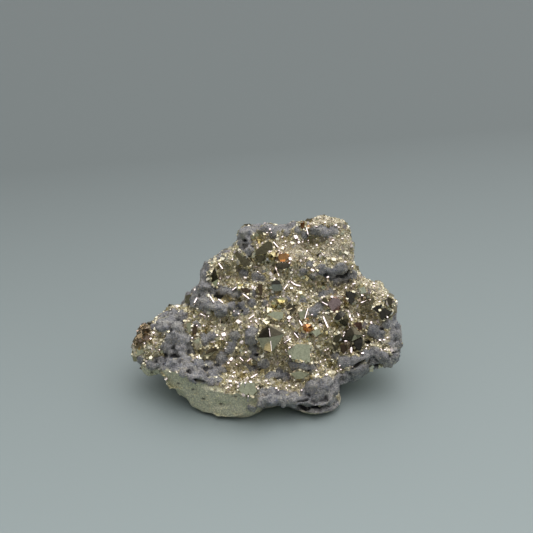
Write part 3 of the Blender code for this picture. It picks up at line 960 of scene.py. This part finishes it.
# Narrow faces that flash in the light: pixels of the ends, width in pixels.
BARS = (
    ((194.3, 302.6), (196.9, 297.8), 1.2), ((210, 296), (213.9, 302.2), 1.2),
    ((218.2, 298.9), (222.9, 302.7), 1.1), ((200.4, 313.7), (205.6, 315.9), 1.0),
    ((218.7, 263), (222.6, 268.8), 1.1), ((232.4, 290), (236.3, 286.9), 0.9),
    ((240.7, 291.6), (249.2, 298.7), 1.2), ((254.2, 266), (260.2, 266.6), 1.1),
    ((273.4, 241.8), (278.1, 247.2), 1.1), ((273.7, 262.8), (278.9, 275.7), 1.0),
    ((289.4, 280.3), (295, 284.6), 1.5), ((294.6, 284.6), (300.2, 285.8), 1.4),
    ((283.8, 289.3), (287.7, 284.3), 0.9), ((298.3, 318.5), (302.2, 325.4), 1.4),
    ((292.6, 330.8), (298.2, 337.6), 0.9), ((322.7, 315.2), (327.9, 327.3), 1.5),
    ((248.8, 318.7), (254.2, 314.8), 0.9), ((247.3, 361.2), (251.7, 357.6), 0.9),
    ((239.8, 357.2), (243.2, 360.7), 0.9), ((251.3, 377.5), (257.7, 373.6), 1.2),
    ((342.6, 337.0), (350.7, 325.6), 0.9), ((352.3, 341), (364.2, 335.4), 0.9),
    ((351.3, 342.8), (351.4, 352.4), 1.7), ((268.9, 327.2), (270.1, 336.4), 0.35),
    ((270.4, 338.6), (271.6, 351.0), 0.35), ((284.2, 342.3), (290.6, 338.6), 1.1),
    ((322, 301.8), (327.8, 305.1), 0.8), ((355.8, 311.3), (359, 315.7), 1.3),
    ((304.9, 318.6), (307.9, 308.4), 0.7), ((306.3, 227.4), (308.1, 234.2), 0.9),
    ((361, 302.6), (369.6, 299), 1.1), ((287.7, 371.3), (290.1, 376.3), 0.9),
    ((350, 317.5), (349.6, 309.5), 1.3),
)

# Small faces that flash in the light: pixel of the centre, width and height in pixels, turn.
GLINTS = (
    (223.7, 334.3, 4.4, 4.4, 20), (153.5, 332.6, 2.2, 2.4, 0), (150.6, 338.6, 2.2, 1.8, 30),
    (144.5, 343, 1.2, 1.9, 0), (151.5, 348.5, 1.0, 1.8, 10), (159.5, 349.6, 1.4, 1.4, 0),
    (192.2, 337.7, 1.6, 1.5, 0), (196.8, 325.4, 1.6, 1.1, 0), (197.3, 357, 1.5, 2.8, 20),
    (208.5, 316.2, 1.3, 1.3, 0), (210.5, 319.5, 1.1, 1.1, 0), (220.5, 319.5, 1.0, 1.0, 0),
    (211.5, 326, 1.8, 1.2, 0), (203.5, 325.5, 1.4, 1.8, 0), (217.2, 334.8, 1.6, 1.8, 0),
    (222.3, 339, 1.6, 1.2, 0), (226.5, 322.6, 1.2, 1.2, 0), (226.5, 342.5, 1.2, 1.2, 0),
    (231.2, 359, 2.6, 4.4, -30), (228.4, 362.8, 2.2, 2.2, 0), (230.2, 381, 3.4, 2.6, 0),
    (228, 387.2, 1.1, 1.8, 0), (226.6, 379.8, 1.4, 1.0, 0), (232.6, 376, 1.4, 1.4, 0),
    (234.3, 372.4, 2.6, 1.4, 20), (236.6, 364.1, 2.0, 1.0, -40), (245.8, 352.2, 1.6, 1.7, 0),
    (256.4, 370, 3.2, 1.9, 10), (250.4, 381.8, 3.8, 2.6, 0), (245.2, 382.8, 1.8, 1.3, 0),
    (248.8, 326.6, 1.7, 2.4, 20), (256.2, 321, 1.8, 3.6, 15), (250.8, 321.1, 2.0, 1.4, 0),
    (259.5, 318.6, 1.6, 1.5, 0), (240.8, 321.7, 1.2, 1.2, 0), (234, 311, 1.2, 1.2, 0),
    (238.6, 313.6, 1.0, 1.9, 30), (257.7, 271.5, 1.5, 1.1, 0), (274.7, 278.4, 1.5, 1.4, 0),
    (271, 269, 1.1, 1.8, 30), (232.3, 259.3, 1.5, 1.5, 0), (218.2, 284, 1.6, 3.6, 0),
    (220.2, 277, 1.1, 4.6, 0), (236.6, 277, 2.2, 4.0, 0), (231.3, 277, 2.2, 2.0, 0),
    (223.6, 276.6, 1.6, 2.4, 0), (270, 229, 1.7, 1.7, 0), (267, 232.5, 1.4, 1.0, 0),
    (271.3, 232.4, 1.0, 1.0, 0), (282.4, 236.6, 2.4, 1.1, 40), (285.5, 241.2, 1.4, 1.4, 0),
    (285.7, 245.3, 1.0, 1.0, 0), (296, 236.8, 3.6, 4.8, 15), (298.8, 242.2, 2.6, 2.8, 30),
    (302.6, 241.8, 1.4, 1.1, 0), (308, 240.3, 1.8, 1.0, 0), (290.2, 258.6, 2.8, 4.2, 10),
    (288.8, 262.2, 3.4, 2.8, -30), (281.5, 253.5, 1.1, 1.4, 0), (282.5, 262, 1.1, 1.0, 0),
    (279, 250.3, 1.4, 1.0, 0), (291.5, 288, 2.8, 2.2, 0), (289.1, 317.5, 3.9, 3.9, 45),
    (289.0, 320.8, 1.9, 1.6, 45), (312, 314.6, 1.3, 1.3, 0), (277.6, 361.1, 1.5, 1.5, 0),
    (274.3, 362, 1.0, 1.9, 0), (276.3, 388, 2.2, 1.7, 0), (278.3, 390, 1.0, 1.0, 0),
    (289.3, 385.5, 1.4, 1.7, 0), (296, 385.4, 1.3, 1.3, 0), (286.3, 388, 0.9, 1.8, 0),
    (301.6, 390, 1.5, 1.3, 0), (268.3, 383.3, 2.4, 1.0, 0), (316.4, 370.4, 1.5, 1.5, 0),
    (326.5, 374.5, 2.4, 2.0, 0), (340.8, 369.4, 1.7, 1.3, 0), (339.8, 365.6, 1.0, 2.0, -30),
    (337.5, 371, 1.1, 1.0, 0), (320.5, 361.6, 1.0, 2.4, 0), (325.4, 359.6, 2.2, 1.0, 45),
    (248.2, 396, 1.3, 1.0, 0), (312.6, 270, 4.2, 2.4, -30), (327.8, 277, 2.8, 1.5, 25),
    (316, 281.5, 1.8, 1.1, -10), (317, 290.8, 2.2, 1.4, 25), (345.7, 287.3, 2.3, 2.9, 20),
    (362.4, 294.8, 2.6, 3.0, 0), (364.6, 297.2, 3.2, 2.6, -20), (354, 283.5, 3.6, 1.1, 15),
    (316.8, 245, 2.0, 2.4, 0), (305.5, 258, 1.5, 1.2, 0), (320.3, 261.5, 1.1, 1.1, 0),
    (306.8, 250.9, 1.6, 1.8, 30), (345.5, 261.6, 2.2, 1.7, 0), (352.4, 266.2, 1.6, 1.9, 0),
    (335.9, 225, 2.3, 2.5, 20), (325, 222.2, 1.8, 1.1, 30), (316.4, 226.2, 2.4, 0.9, -10),
    (374, 283.2, 2.0, 1.3, -20), (374, 286, 2.2, 1.1, 0), (370, 299.5, 1.4, 1.3, 0),
    (379.5, 301.6, 2.2, 1.0, 10), (383, 295, 1.4, 1.4, 0), (296.7, 296.3, 1.6, 1.4, 0),
    (345.8, 340.6, 3.2, 2.0, 5), (348.6, 342, 3.4, 2.6, 0), (362.6, 353, 3.2, 1.9, 10),
    (367.6, 345.3, 1.5, 1.3, 0), (380, 340, 2.8, 1.7, -20), (384.2, 339.7, 2.6, 1.5, 0),
    (387.5, 337.5, 1.8, 1.5, 20), (384.8, 349.6, 1.1, 1.1, 0), (387.5, 317, 1.4, 1.9, 0),
    (351.6, 319.2, 1.5, 3.6, 0), (325.2, 350.1, 1.5, 1.2, 0), (328, 348.8, 1.8, 1.2, 0),
    (326.4, 337.9, 1.5, 1.1, 0), (332, 336.5, 1.1, 1.0, 0), (338.8, 329, 1.3, 1.1, 0),
    (371.6, 322.4, 2.6, 2.8, 0), (366.5, 312.5, 1.1, 1.5, 0), (331, 243, 1.4, 2.4, 10),
    (333, 240, 3.0, 1.0, 10), (290.2, 356.4, 1.4, 2.4, 20), (286.4, 350.5, 2.0, 3.0, 20),
    (289.6, 347.4, 2.6, 1.4, 20), (287.4, 354.6, 1.4, 2.0, 0), (338.8, 285.8, 1.2, 1.2, 0),
)


def depth_of(point):
    return (point - VIEW.place).dot(VIEW.forward)


def at_depth(pixel, depth):
    """The point that a pixel shows at a depth from the camera, in metres."""
    ray = VIEW.ray(*pixel)
    return VIEW.place + ray * (depth / ray.dot(VIEW.forward))


def corner_crystal(tree, corners):
    """A crystal through its seen corners, with its hidden part sunk into the mass."""
    count = len(corners)
    middle = (sum(x for x, _, _ in corners) / count, sum(y for _, y, _ in corners) / count)
    feet = sorted(depth_of(on_mass(tree, (x, y))[0]) for x, y, _ in corners)
    mean_lift = sum(lift for _, _, lift in corners) / count * MM
    at_middle = depth_of(on_mass(tree, middle)[0])
    depth = min(feet[count // 4], at_middle + mean_lift) - 0.5 * MM
    points = [at_depth((x, y), depth - lift * MM) for x, y, lift in corners]
    reach = max(math.hypot(x - middle[0], y - middle[1]) for x, y, _ in corners)
    sunk = min(1.0 * MM + reach * pixel_size(points[0]), 4.0 * MM)
    for x, y, _ in corners:
        inner = (middle[0] + (x - middle[0]) * 0.7, middle[1] + (y - middle[1]) * 0.7)
        points.append(at_depth(inner, depth + sunk))
    return points


def half_way(point):
    """The way a face at this point has to look to throw the main light at the camera."""
    to_light = (Vector(KEY_PLACE) - point).normalized()
    to_camera = (VIEW.place - point).normalized()
    return (to_light + to_camera).normalized()


def flashing_box(tree, start, end, width, lift, tip=(0.0, 0.0)):
    """A slab between two pixels whose outer face flashes; width in pixels, lift in millimetres."""
    middle = ((start[0] + end[0]) / 2, (start[1] + end[1]) / 2)
    around = (middle, start, end, (middle[0], middle[1] - 1), (middle[0], middle[1] + 1))
    seats = [depth_of(on_mass(tree, pixel)[0]) for pixel in around]
    for rise in (2, 4, 6, 9):
        above = depth_of(on_mass(tree, (middle[0], middle[1] - rise))[0])
        seats.append(above + rise * KEY_CLEARANCE * MM)
    nearest = max(min(seats), seats[0] - 2.5 * MM)
    depth = nearest - lift * MM
    centre = at_depth(middle, depth)
    way = half_way(centre)
    way = (way + VIEW.right * tip[0] + VIEW.up * tip[1]).normalized()
    first, second = at_depth(start, depth), at_depth(end, depth)
    for ends in range(2):
        point, pixel = ((first, start), (second, end))[ends]
        ray = VIEW.ray(*pixel)
        reach = (centre - VIEW.place).dot(way) / ray.dot(way)
        if ends == 0:
            first = VIEW.place + ray * reach
        else:
            second = VIEW.place + ray * reach
    along = second - first
    aside = way.cross(along).normalized() * (width * pixel_size(centre) / 2)
    down = -way * ((lift + 0.8) * MM + seats[0] - nearest)
    top = [first + aside, first - aside, second - aside, second + aside]
    return top + [corner + down for corner in top]


def outer_corners(places):
    """The corners of the smallest convex outline round some places, in order."""
    places = sorted(places, key=lambda place: place[:2])
    outline = []
    for run in (places, places[::-1]):
        chain = []
        for place in run:
            while len(chain) > 1 and turns_back(chain[-2], chain[-1], place):
                chain.pop()
            chain.append(place)
        outline += chain[:-1]
    return outline


def turns_back(first, second, third):
    return ((second[0] - first[0]) * (third[1] - first[1])
            - (second[1] - first[1]) * (third[0] - first[0])) <= 0


def clear_of_crystals(points):
    """False for the points whose pixels lie on one of the named crystals."""
    pixels = VIEW.pixels(points)
    clear = np.ones(len(points), bool)
    for _, _, corners in NAMED_CRYSTALS:
        outline = np.array(outer_corners([(x, y) for x, y, _ in corners]))
        inside = np.ones(len(points), bool)
        for first, second in zip(outline, np.roll(outline, -1, axis=0)):
            edge = second - first
            across = pixels - first
            inside &= edge[0] * across[:, 1] - edge[1] * across[:, 0] > 0
        clear &= ~inside
    return clear


COLLAR_STEP = 1.5
# Millimetres toward the camera that the main light's rays gain for each pixel up.
KEY_CLEARANCE = 0.18
DULL_TRIES = 14
HALF_DULL_TRIES = 2


def add_hull(heap, points, tint):
    centre = sum(points, Vector()) / len(points)
    shape = hull([point - centre for point in points])
    shape.verts.ensure_lookup_table()
    vertices = np.array([vertex.co[:] for vertex in shape.verts])
    faces = [[vertex.index for vertex in face.verts] for face in shape.faces]
    shape.free()
    heap.add((vertices, faces), Matrix.Translation(centre), tint)


def flash_lines():
    """The two ends, in pixels, and the width of every face that flashes."""
    lines = [(*start, *end, width * 0.8) for start, end, width in BARS]
    for x, y, wide, high, turn in GLINTS:
        across = math.cos(math.radians(turn)) * wide * 0.4
        down = -math.sin(math.radians(turn)) * wide * 0.4
        lines.append((x - across, y - down, x + across, y + down, high * 0.8))
    return lines


def flash_gap(pixels):
    """Pixels between each place and the nearest face that flashes."""
    gap = np.full(len(pixels), np.inf)
    for x0, y0, x1, y1, width in flash_lines():
        start, along = np.array((x0, y0)), np.array((x1 - x0, y1 - y0))
        share = np.clip((pixels - start) @ along / (along @ along), 0, 1)
        apart = np.linalg.norm(pixels - start - share[:, None] * along, axis=1)
        gap = np.minimum(gap, apart - width / 2)
    return gap


def clear_of_flashes(places, out, sizes):
    """Which crystals of these sizes would leave every flashing face in sight."""
    seen = (out * (np.array(VIEW.place) - places)).sum(1) > 0
    reach = sizes * MM * VIEW.focal / ((places - np.array(VIEW.place)) @ np.array(VIEW.forward))
    return (flash_gap(VIEW.pixels(places)) > reach) | ~seen


def add_collar(heap, rng, tree, corners):
    """Small crystals grown on the sides of a great one, which break its outline."""
    outline = outer_corners([(x, y, lift) for x, y, lift in corners])
    seats = corner_crystal(tree, outline)[:len(outline)]
    middle = sum((Vector(place[:2]) for place in outline), Vector((0, 0))) / len(outline)
    for number, (x, y, _) in enumerate(outline):
        next_x, next_y, _ = outline[(number + 1) % len(outline)]
        top, next_top = depth_of(seats[number]), depth_of(seats[(number + 1) % len(seats)])
        for share in np.arange(0.0, 1.0, COLLAR_STEP / max(math.hypot(next_x - x, next_y - y), 1.0)):
            out, sunk, size = rng.uniform((0.1, 0.1, 0.20), (1.5, 1.0, 0.45))
            edge = Vector((x + (next_x - x) * share, y + (next_y - y) * share))
            pixel = edge + (edge - middle).normalized() * out
            near = top + (next_top - top) * share
            far = max(depth_of(on_mass(tree, pixel)[0]), near)
            turn = random_turns(rng, 1)[0] * size * MM
            place = Matrix.Translation(at_depth(pixel, near + (far - near) * sunk))
            tint = np.array(GLITTER_TINTS[rng.integers(len(GLITTER_TINTS))])
            if flash_gap(np.array([pixel[:]]))[0] > size * MM / pixel_size(seats[number]):
                heap.add(crystal_arrays("cube", 0), place @ Matrix(turn.tolist()).to_4x4(), tint)


def make_named_crystals(rng, tree):
    heap, tarnished, collars = Heap(), Heap(), Heap()
    for _, tint, corners in NAMED_CRYSTALS:
        mine = tarnished if tint in (ORANGE, RUSSET, PURPLE) else heap
        add_hull(mine, corner_crystal(tree, corners), tint)
        add_collar(collars, rng, tree, corners)
    tarnished.piece("tarnished_crystals", crystal_material("tarnished", 0.24), "tarnished_pyrite")
    collars.piece("collars", crystal_material("collars", 0.30, 0.88), "pyrite")
    return heap.piece("great_crystals", crystal_material("great crystals", 0.16), "pyrite")


def make_flashes(rng, tree):
    heap = Heap()
    for x0, y0, x1, y1, width in flash_lines():
        tip = rng.uniform(-0.04, 0.04, 2)
        add_hull(heap, flashing_box(tree, (x0, y0), (x1, y1), width, 0.7, tip), FLASH)
    heap.piece("bright_faces", crystal_material("bright faces", 0.12), "pyrite")


# ---------------------------------------------------------------- glitter

GLITTER_TINTS = ((0.97, 0.92, 0.71), (0.95, 0.89, 0.62), (0.94, 0.92, 0.72), (0.98, 0.90, 0.84),
                 (0.82, 0.76, 0.52), (0.64, 0.59, 0.40))
SATIN_TINTS = ((1.0, 0.95, 0.76), (1.0, 0.92, 0.68), (1.0, 0.93, 0.80), (0.44, 0.36, 0.24),
               (1.0, 0.95, 0.72), (0.62, 0.54, 0.36))
MASSIVE_TINTS = ((0.80, 0.79, 0.55), (0.68, 0.67, 0.48), (0.96, 0.91, 0.64), (0.44, 0.43, 0.30))
FACET_TINTS = ((0.66, 0.60, 0.42), (0.60, 0.56, 0.38), (0.70, 0.62, 0.40), (0.50, 0.45, 0.28))
GRAIN_TINTS = ((0.30, 0.31, 0.325), (0.355, 0.365, 0.36), (0.42, 0.42, 0.36), (0.18, 0.185, 0.22),
               (0.48, 0.48, 0.40), (0.265, 0.27, 0.31))


def random_turns(rng, count):
    """Evenly spread random rotation matrices."""
    quaternions = rng.normal(size=(count, 4))
    quaternions /= np.linalg.norm(quaternions, axis=1)[:, None]
    w, x, y, z = quaternions.T
    rows = [1 - 2 * (y * y + z * z), 2 * (x * y - z * w), 2 * (x * z + y * w),
            2 * (x * y + z * w), 1 - 2 * (x * x + z * z), 2 * (y * z - x * w),
            2 * (x * z - y * w), 2 * (y * z + x * w), 1 - 2 * (x * x + y * y)]
    return np.stack(rows, 1).reshape(-1, 3, 3)


def dull_turns(rng, places, kind, tries):
    """A turn for each crystal that shows no face mirroring the bright ceiling to the camera."""
    vertices, faces = crystal_arrays(kind, 0)
    corners = np.array([vertices[face[:3]] for face in faces])
    face_ways = np.cross(corners[:, 1] - corners[:, 0], corners[:, 2] - corners[:, 0])
    face_ways /= np.linalg.norm(face_ways, axis=1)[:, None]
    to_camera = np.array(VIEW.place) - places
    to_camera /= np.linalg.norm(to_camera, axis=1)[:, None]
    best, best_turns = np.full(len(places), np.inf), None
    for _ in range(tries):
        turns = random_turns(rng, len(places))
        ways = np.einsum("nij,fj->nfi", turns, face_ways)
        facing = np.einsum("nfi,ni->nf", ways, to_camera)
        mirrored = 2 * facing[..., None] * ways - to_camera[:, None]
        bright = (mirrored[..., 2] > 0.35) & (mirrored[..., 1] > -0.6)
        score = (np.clip(facing, 0, 1) * bright).sum(1)
        better = score < best
        best_turns = turns if best_turns is None else np.where(better[:, None, None], turns, best_turns)
        best = np.where(better, score, best)
    return best_turns


def scatter(rng, mesh, points, weights, count):
    """Random points of the mass, more where the weights are high, with the way out at each."""
    polygons = np.array([polygon.vertices[:] for polygon in mesh.polygons if len(polygon.vertices) == 4])
    corners = points[polygons]
    area = np.linalg.norm(np.cross(corners[:, 2] - corners[:, 0], corners[:, 3] - corners[:, 1]), axis=1)
    share = area * weights[polygons].mean(1)
    picked = rng.choice(len(polygons), count, p=share / share.sum())
    u, v = rng.random((2, count, 1))
    a, b, c, d = corners[picked].transpose(1, 0, 2)
    place = (a * (1 - u) + b * u) * (1 - v) + (d * (1 - u) + c * u) * v
    out = np.cross(c - a, d - b)
    out /= np.linalg.norm(out, axis=1)[:, None]
    return place, out


TARNISH_SHADE = (0.44, 0.37, 0.31)


def tarnish(places):
    """How strongly each place is tarnished brown."""
    pixels = VIEW.pixels(places)
    amount = np.zeros(len(places))
    for centre, wide, high, turn, strength in TARNISH_PATCHES:
        near = 1 - smoothstep(0.5, 1.1, ellipse(pixels, centre, wide, high, turn))
        amount = np.maximum(amount, near * strength)
    return amount


def crystal_field(name, rng, kinds, mesh, points, weights, count, sizes, tints, material, sunk,
                  shades=(0.8, 1.12), tries=0, longest=1.25):
    """Thousands of small crystals grown on the mass, joined into one piece."""
    places, out = scatter(rng, mesh, points, weights, count)
    low, high = sizes
    size = low + (high - low) * rng.random(count) ** 2.2
    clear = clear_of_crystals(places) & clear_of_flashes(places, out, size)
    places, out, size = places[clear], out[clear], size[clear]
    count = len(places)
    turns = random_turns(rng, count)
    stretch = rng.uniform(2 - longest, longest, (count, 3))
    chosen = rng.integers(0, len(kinds), count)
    tint = np.array(tints)[rng.integers(0, len(tints), count)] * rng.uniform(*shades, (count, 1))
    tint *= 1 - tarnish(places)[:, None] * (1 - np.array(TARNISH_SHADE))
    all_vertices, all_faces, all_tints, start = [], [], [], 0
    for number, kind in enumerate(kinds):
        vertices, faces = crystal_arrays(kind, 0)
        mine = np.nonzero(chosen == number)[0]
        if tries:
            turns[mine] = dull_turns(rng, places[mine], kind, tries)
            stretch[mine] = 1.0
        local = vertices[None] * stretch[mine][:, None] * size[mine][:, None, None] * MM
        placed = np.einsum("nij,nvj->nvi", turns[mine], local)
        centres = places[mine] - out[mine] * (size[mine] * sunk * MM)[:, None]
        placed += centres[:, None]
        all_vertices.append(placed.reshape(-1, 3))
        for index in range(len(mine)):
            base = start + index * len(vertices)
            all_faces += [[base + corner for corner in face] for face in faces]
        all_tints.append(np.repeat(tint[mine], len(vertices), axis=0))
        start += placed.shape[0] * placed.shape[1]
    result = bpy.data.meshes.new(name)
    places_all = np.concatenate(all_vertices)
    places_all[:, 2] = np.maximum(places_all[:, 2], 0.0)
    result.from_pydata(places_all.tolist(), [], all_faces)
    set_colours(result, "tint", np.concatenate(all_tints))
    return new_piece(name, result, material)


# ---------------------------------------------------------------- stage

def make_camera():
    data = bpy.data.cameras.new("camera")
    data.lens = CAMERA_LENS
    data.sensor_width = SENSOR_WIDTH
    data.clip_start = 0.01
    camera = bpy.data.objects.new("camera", data)
    camera.location = VIEW.place
    camera.rotation_euler = (math.radians(90 - CAMERA_DOWN), 0.0, 0.0)
    bpy.context.scene.collection.objects.link(camera)
    bpy.context.scene.camera = camera


def make_floor():
    mesh = bpy.data.meshes.new("floor")
    side = 4.0
    mesh.from_pydata([(-side, -side, 0), (side, -side, 0), (side, side, 0), (-side, side, 0)], [],
                     [(0, 1, 2, 3)])
    floor = bpy.data.objects.new("floor", mesh)
    bpy.context.scene.collection.objects.link(floor)
    material, shader, add, join = node_tools("floor")
    # Painted light: the floor's colour darkens toward the back and the left, standing in for the fall of the
    # light across the table.
    where = add("ShaderNodeTexCoord")
    away = add("ShaderNodeVectorMath", operation="DOT_PRODUCT")
    away.inputs[1].default_value = (-0.22, 1.0, 0.0)
    join(where.outputs["Object"], away.inputs[0])
    shade = add("ShaderNodeMapRange")
    set_inputs(shade, {"From Min": 0.20, "From Max": -0.10, "To Min": 0.48, "To Max": 1.0})
    join(away.outputs["Value"], shade.inputs["Value"])
    colour = add("ShaderNodeVectorMath", operation="SCALE")
    colour.inputs[0].default_value = FLOOR_COLOUR
    join(shade.outputs["Result"], colour.inputs["Scale"])
    join(colour.outputs["Vector"], shader.inputs["Base Color"])
    set_inputs(shader, {"Roughness": 0.6})
    mesh.materials.append(material)


def add_light(name, place, size, power, colour):
    data = bpy.data.lights.new(name, "AREA")
    data.shape = "DISK"
    data.size = size
    data.energy = power
    data.color = colour
    light = bpy.data.objects.new(name, data)
    light.location = place
    light.rotation_euler = (-Vector(place)).to_track_quat("-Z", "Y").to_euler()
    bpy.context.scene.collection.objects.link(light)


def make_lights():
    add_light("key", KEY_PLACE, KEY_SIZE, KEY_POWER, KEY_COLOUR)
    for number, (x, y, power) in enumerate(LAMPS):
        add_light(f"lamp_{number}", (x, y, 0.80), 0.16, power, (1.0, 0.97, 0.96))


def make_world():
    """A dim room: pale ceiling, darker walls, darkest on the camera's side and dimmer to the left."""
    world = bpy.data.worlds.new("world")
    bpy.context.scene.world = world
    world.use_nodes = True
    tree = world.node_tree
    background = tree.nodes["Background"]
    where = tree.nodes.new("ShaderNodeTexCoord")
    apart = tree.nodes.new("ShaderNodeSeparateXYZ")
    tree.links.new(where.outputs["Generated"], apart.inputs["Vector"])

    def steps(source, stops, blush=0.0):
        spread = tree.nodes.new("ShaderNodeMapRange")
        spread.inputs["From Min"].default_value = -1.0
        spread.inputs["From Max"].default_value = 1.0
        tree.links.new(apart.outputs[source], spread.inputs["Value"])
        ramp = tree.nodes.new("ShaderNodeValToRGB")
        elements = ramp.color_ramp.elements
        while len(elements) < len(stops):
            elements.new(0.5)
        for element, (place, value) in zip(elements, stops):
            element.position = place
            element.color = (value, value * (1 - blush), value * (1 - blush / 3), 1.0)
        tree.links.new(spread.outputs["Result"], ramp.inputs["Fac"])
        return ramp.outputs["Color"]

    rise = steps("Z", ((0.5, 0.08), (0.62, 0.12), (0.72, 0.5), (0.85, 0.74), (1.0, 0.78)), 0.03)
    back = steps("Y", ((0.0, 0.08), (0.15, 0.10), (0.27, 0.5), (0.43, 0.85), (0.60, 1.0), (0.85, 1.0),
                       (1.0, 0.35)))
    across = steps("X", ((0.0, 0.35), (0.22, 0.5), (0.42, 1.0), (1.0, 1.0)))

    def product(first, second):
        node = tree.nodes.new("ShaderNodeMix")
        node.data_type = "RGBA"
        node.blend_type = "MULTIPLY"
        node.inputs["Factor"].default_value = 1.0
        tree.links.new(first, node.inputs["A"])
        tree.links.new(second, node.inputs["B"])
        return node.outputs["Result"]

    tree.links.new(product(product(rise, back), across), background.inputs["Color"])
    background.inputs["Strength"].default_value = 2.27


def main():
    bpy.context.scene.view_settings.view_transform = "Standard"
    rng = np.random.default_rng(SEED)
    make_camera()
    make_floor()
    make_lights()
    make_world()
    skin, points, zones, skin_tree = make_mass(rng)
    great = make_named_crystals(rng, skin_tree)
    make_flashes(rng, bvh(skin, great.data))
    level = smoothstep(-0.35, 0.0, normals(skin)[:, 2])
    clear_of_floor = smoothstep(3 * MM, 6 * MM, points[:, 2])
    bare = zones.glitter * (1 - zones.gap) * level * clear_of_floor
    crystal_field("crust_grains", rng, ("octahedron",), skin, points,
                  zones.crust * (1 - zones.gap) * (1 - 0.8 * zones.hollow),
                  20000, (0.13, 0.32), GRAIN_TINTS, grain_material("crust grains", (0.84, 0.93, 1.10), (1.20, 1.05, 0.80)), 0.15, (0.70, 1.22))
    fine = bare * (1 - 0.75 * zones.satin)
    crystal_field("massive_grains", rng, ("octahedron",), skin, points,
                  zones.massive * (1 - zones.gap), 8000, (0.16, 0.40), MASSIVE_TINTS,
                  grain_material("massive grains", (1.02, 1.08, 1.12), (1.24, 1.14, 0.98)), 0.55, (0.75, 1.2))
    crystal_field("satin_crystals", rng, ("octahedron",), skin, points, bare * zones.satin, 9000,
                  (0.16, 0.34), SATIN_TINTS, crystal_material("satin", 0.42, 0.25), 0.1)
    crystal_field("dust", rng, ("octahedron",), skin, points, bare + 0.03 * zones.crust
                  + 0.3 * zones.massive * zones.front, 9000,
                  (0.16, 0.30), GLITTER_TINTS, crystal_material("dust", 0.42, 0.8), 0.1)
    crystal_field("fine_glitter", rng, ("cube", "octahedron"), skin, points, fine, 23000,
                  (0.24, 0.54), GLITTER_TINTS, crystal_material("glitter", 0.30, 0.85), 0.1, longest=1.55)
    crystal_field("crystals", rng, ("cube", "octahedron", "pyritohedron"), skin, points,
                  bare * (1 - zones.satin), 900, (0.5, 1.1), GLITTER_TINTS,
                  crystal_material("crystals", 0.24, 0.92), 0.3, tries=HALF_DULL_TRIES)
    crystal_field("facets", rng, ("cube", "octahedron"), skin, points,
                  bare * (1 - zones.satin), 520, (0.6, 1.5), FACET_TINTS,
                  crystal_material("facets", 0.16, 0.95), 0.4, tries=DULL_TRIES)


main()
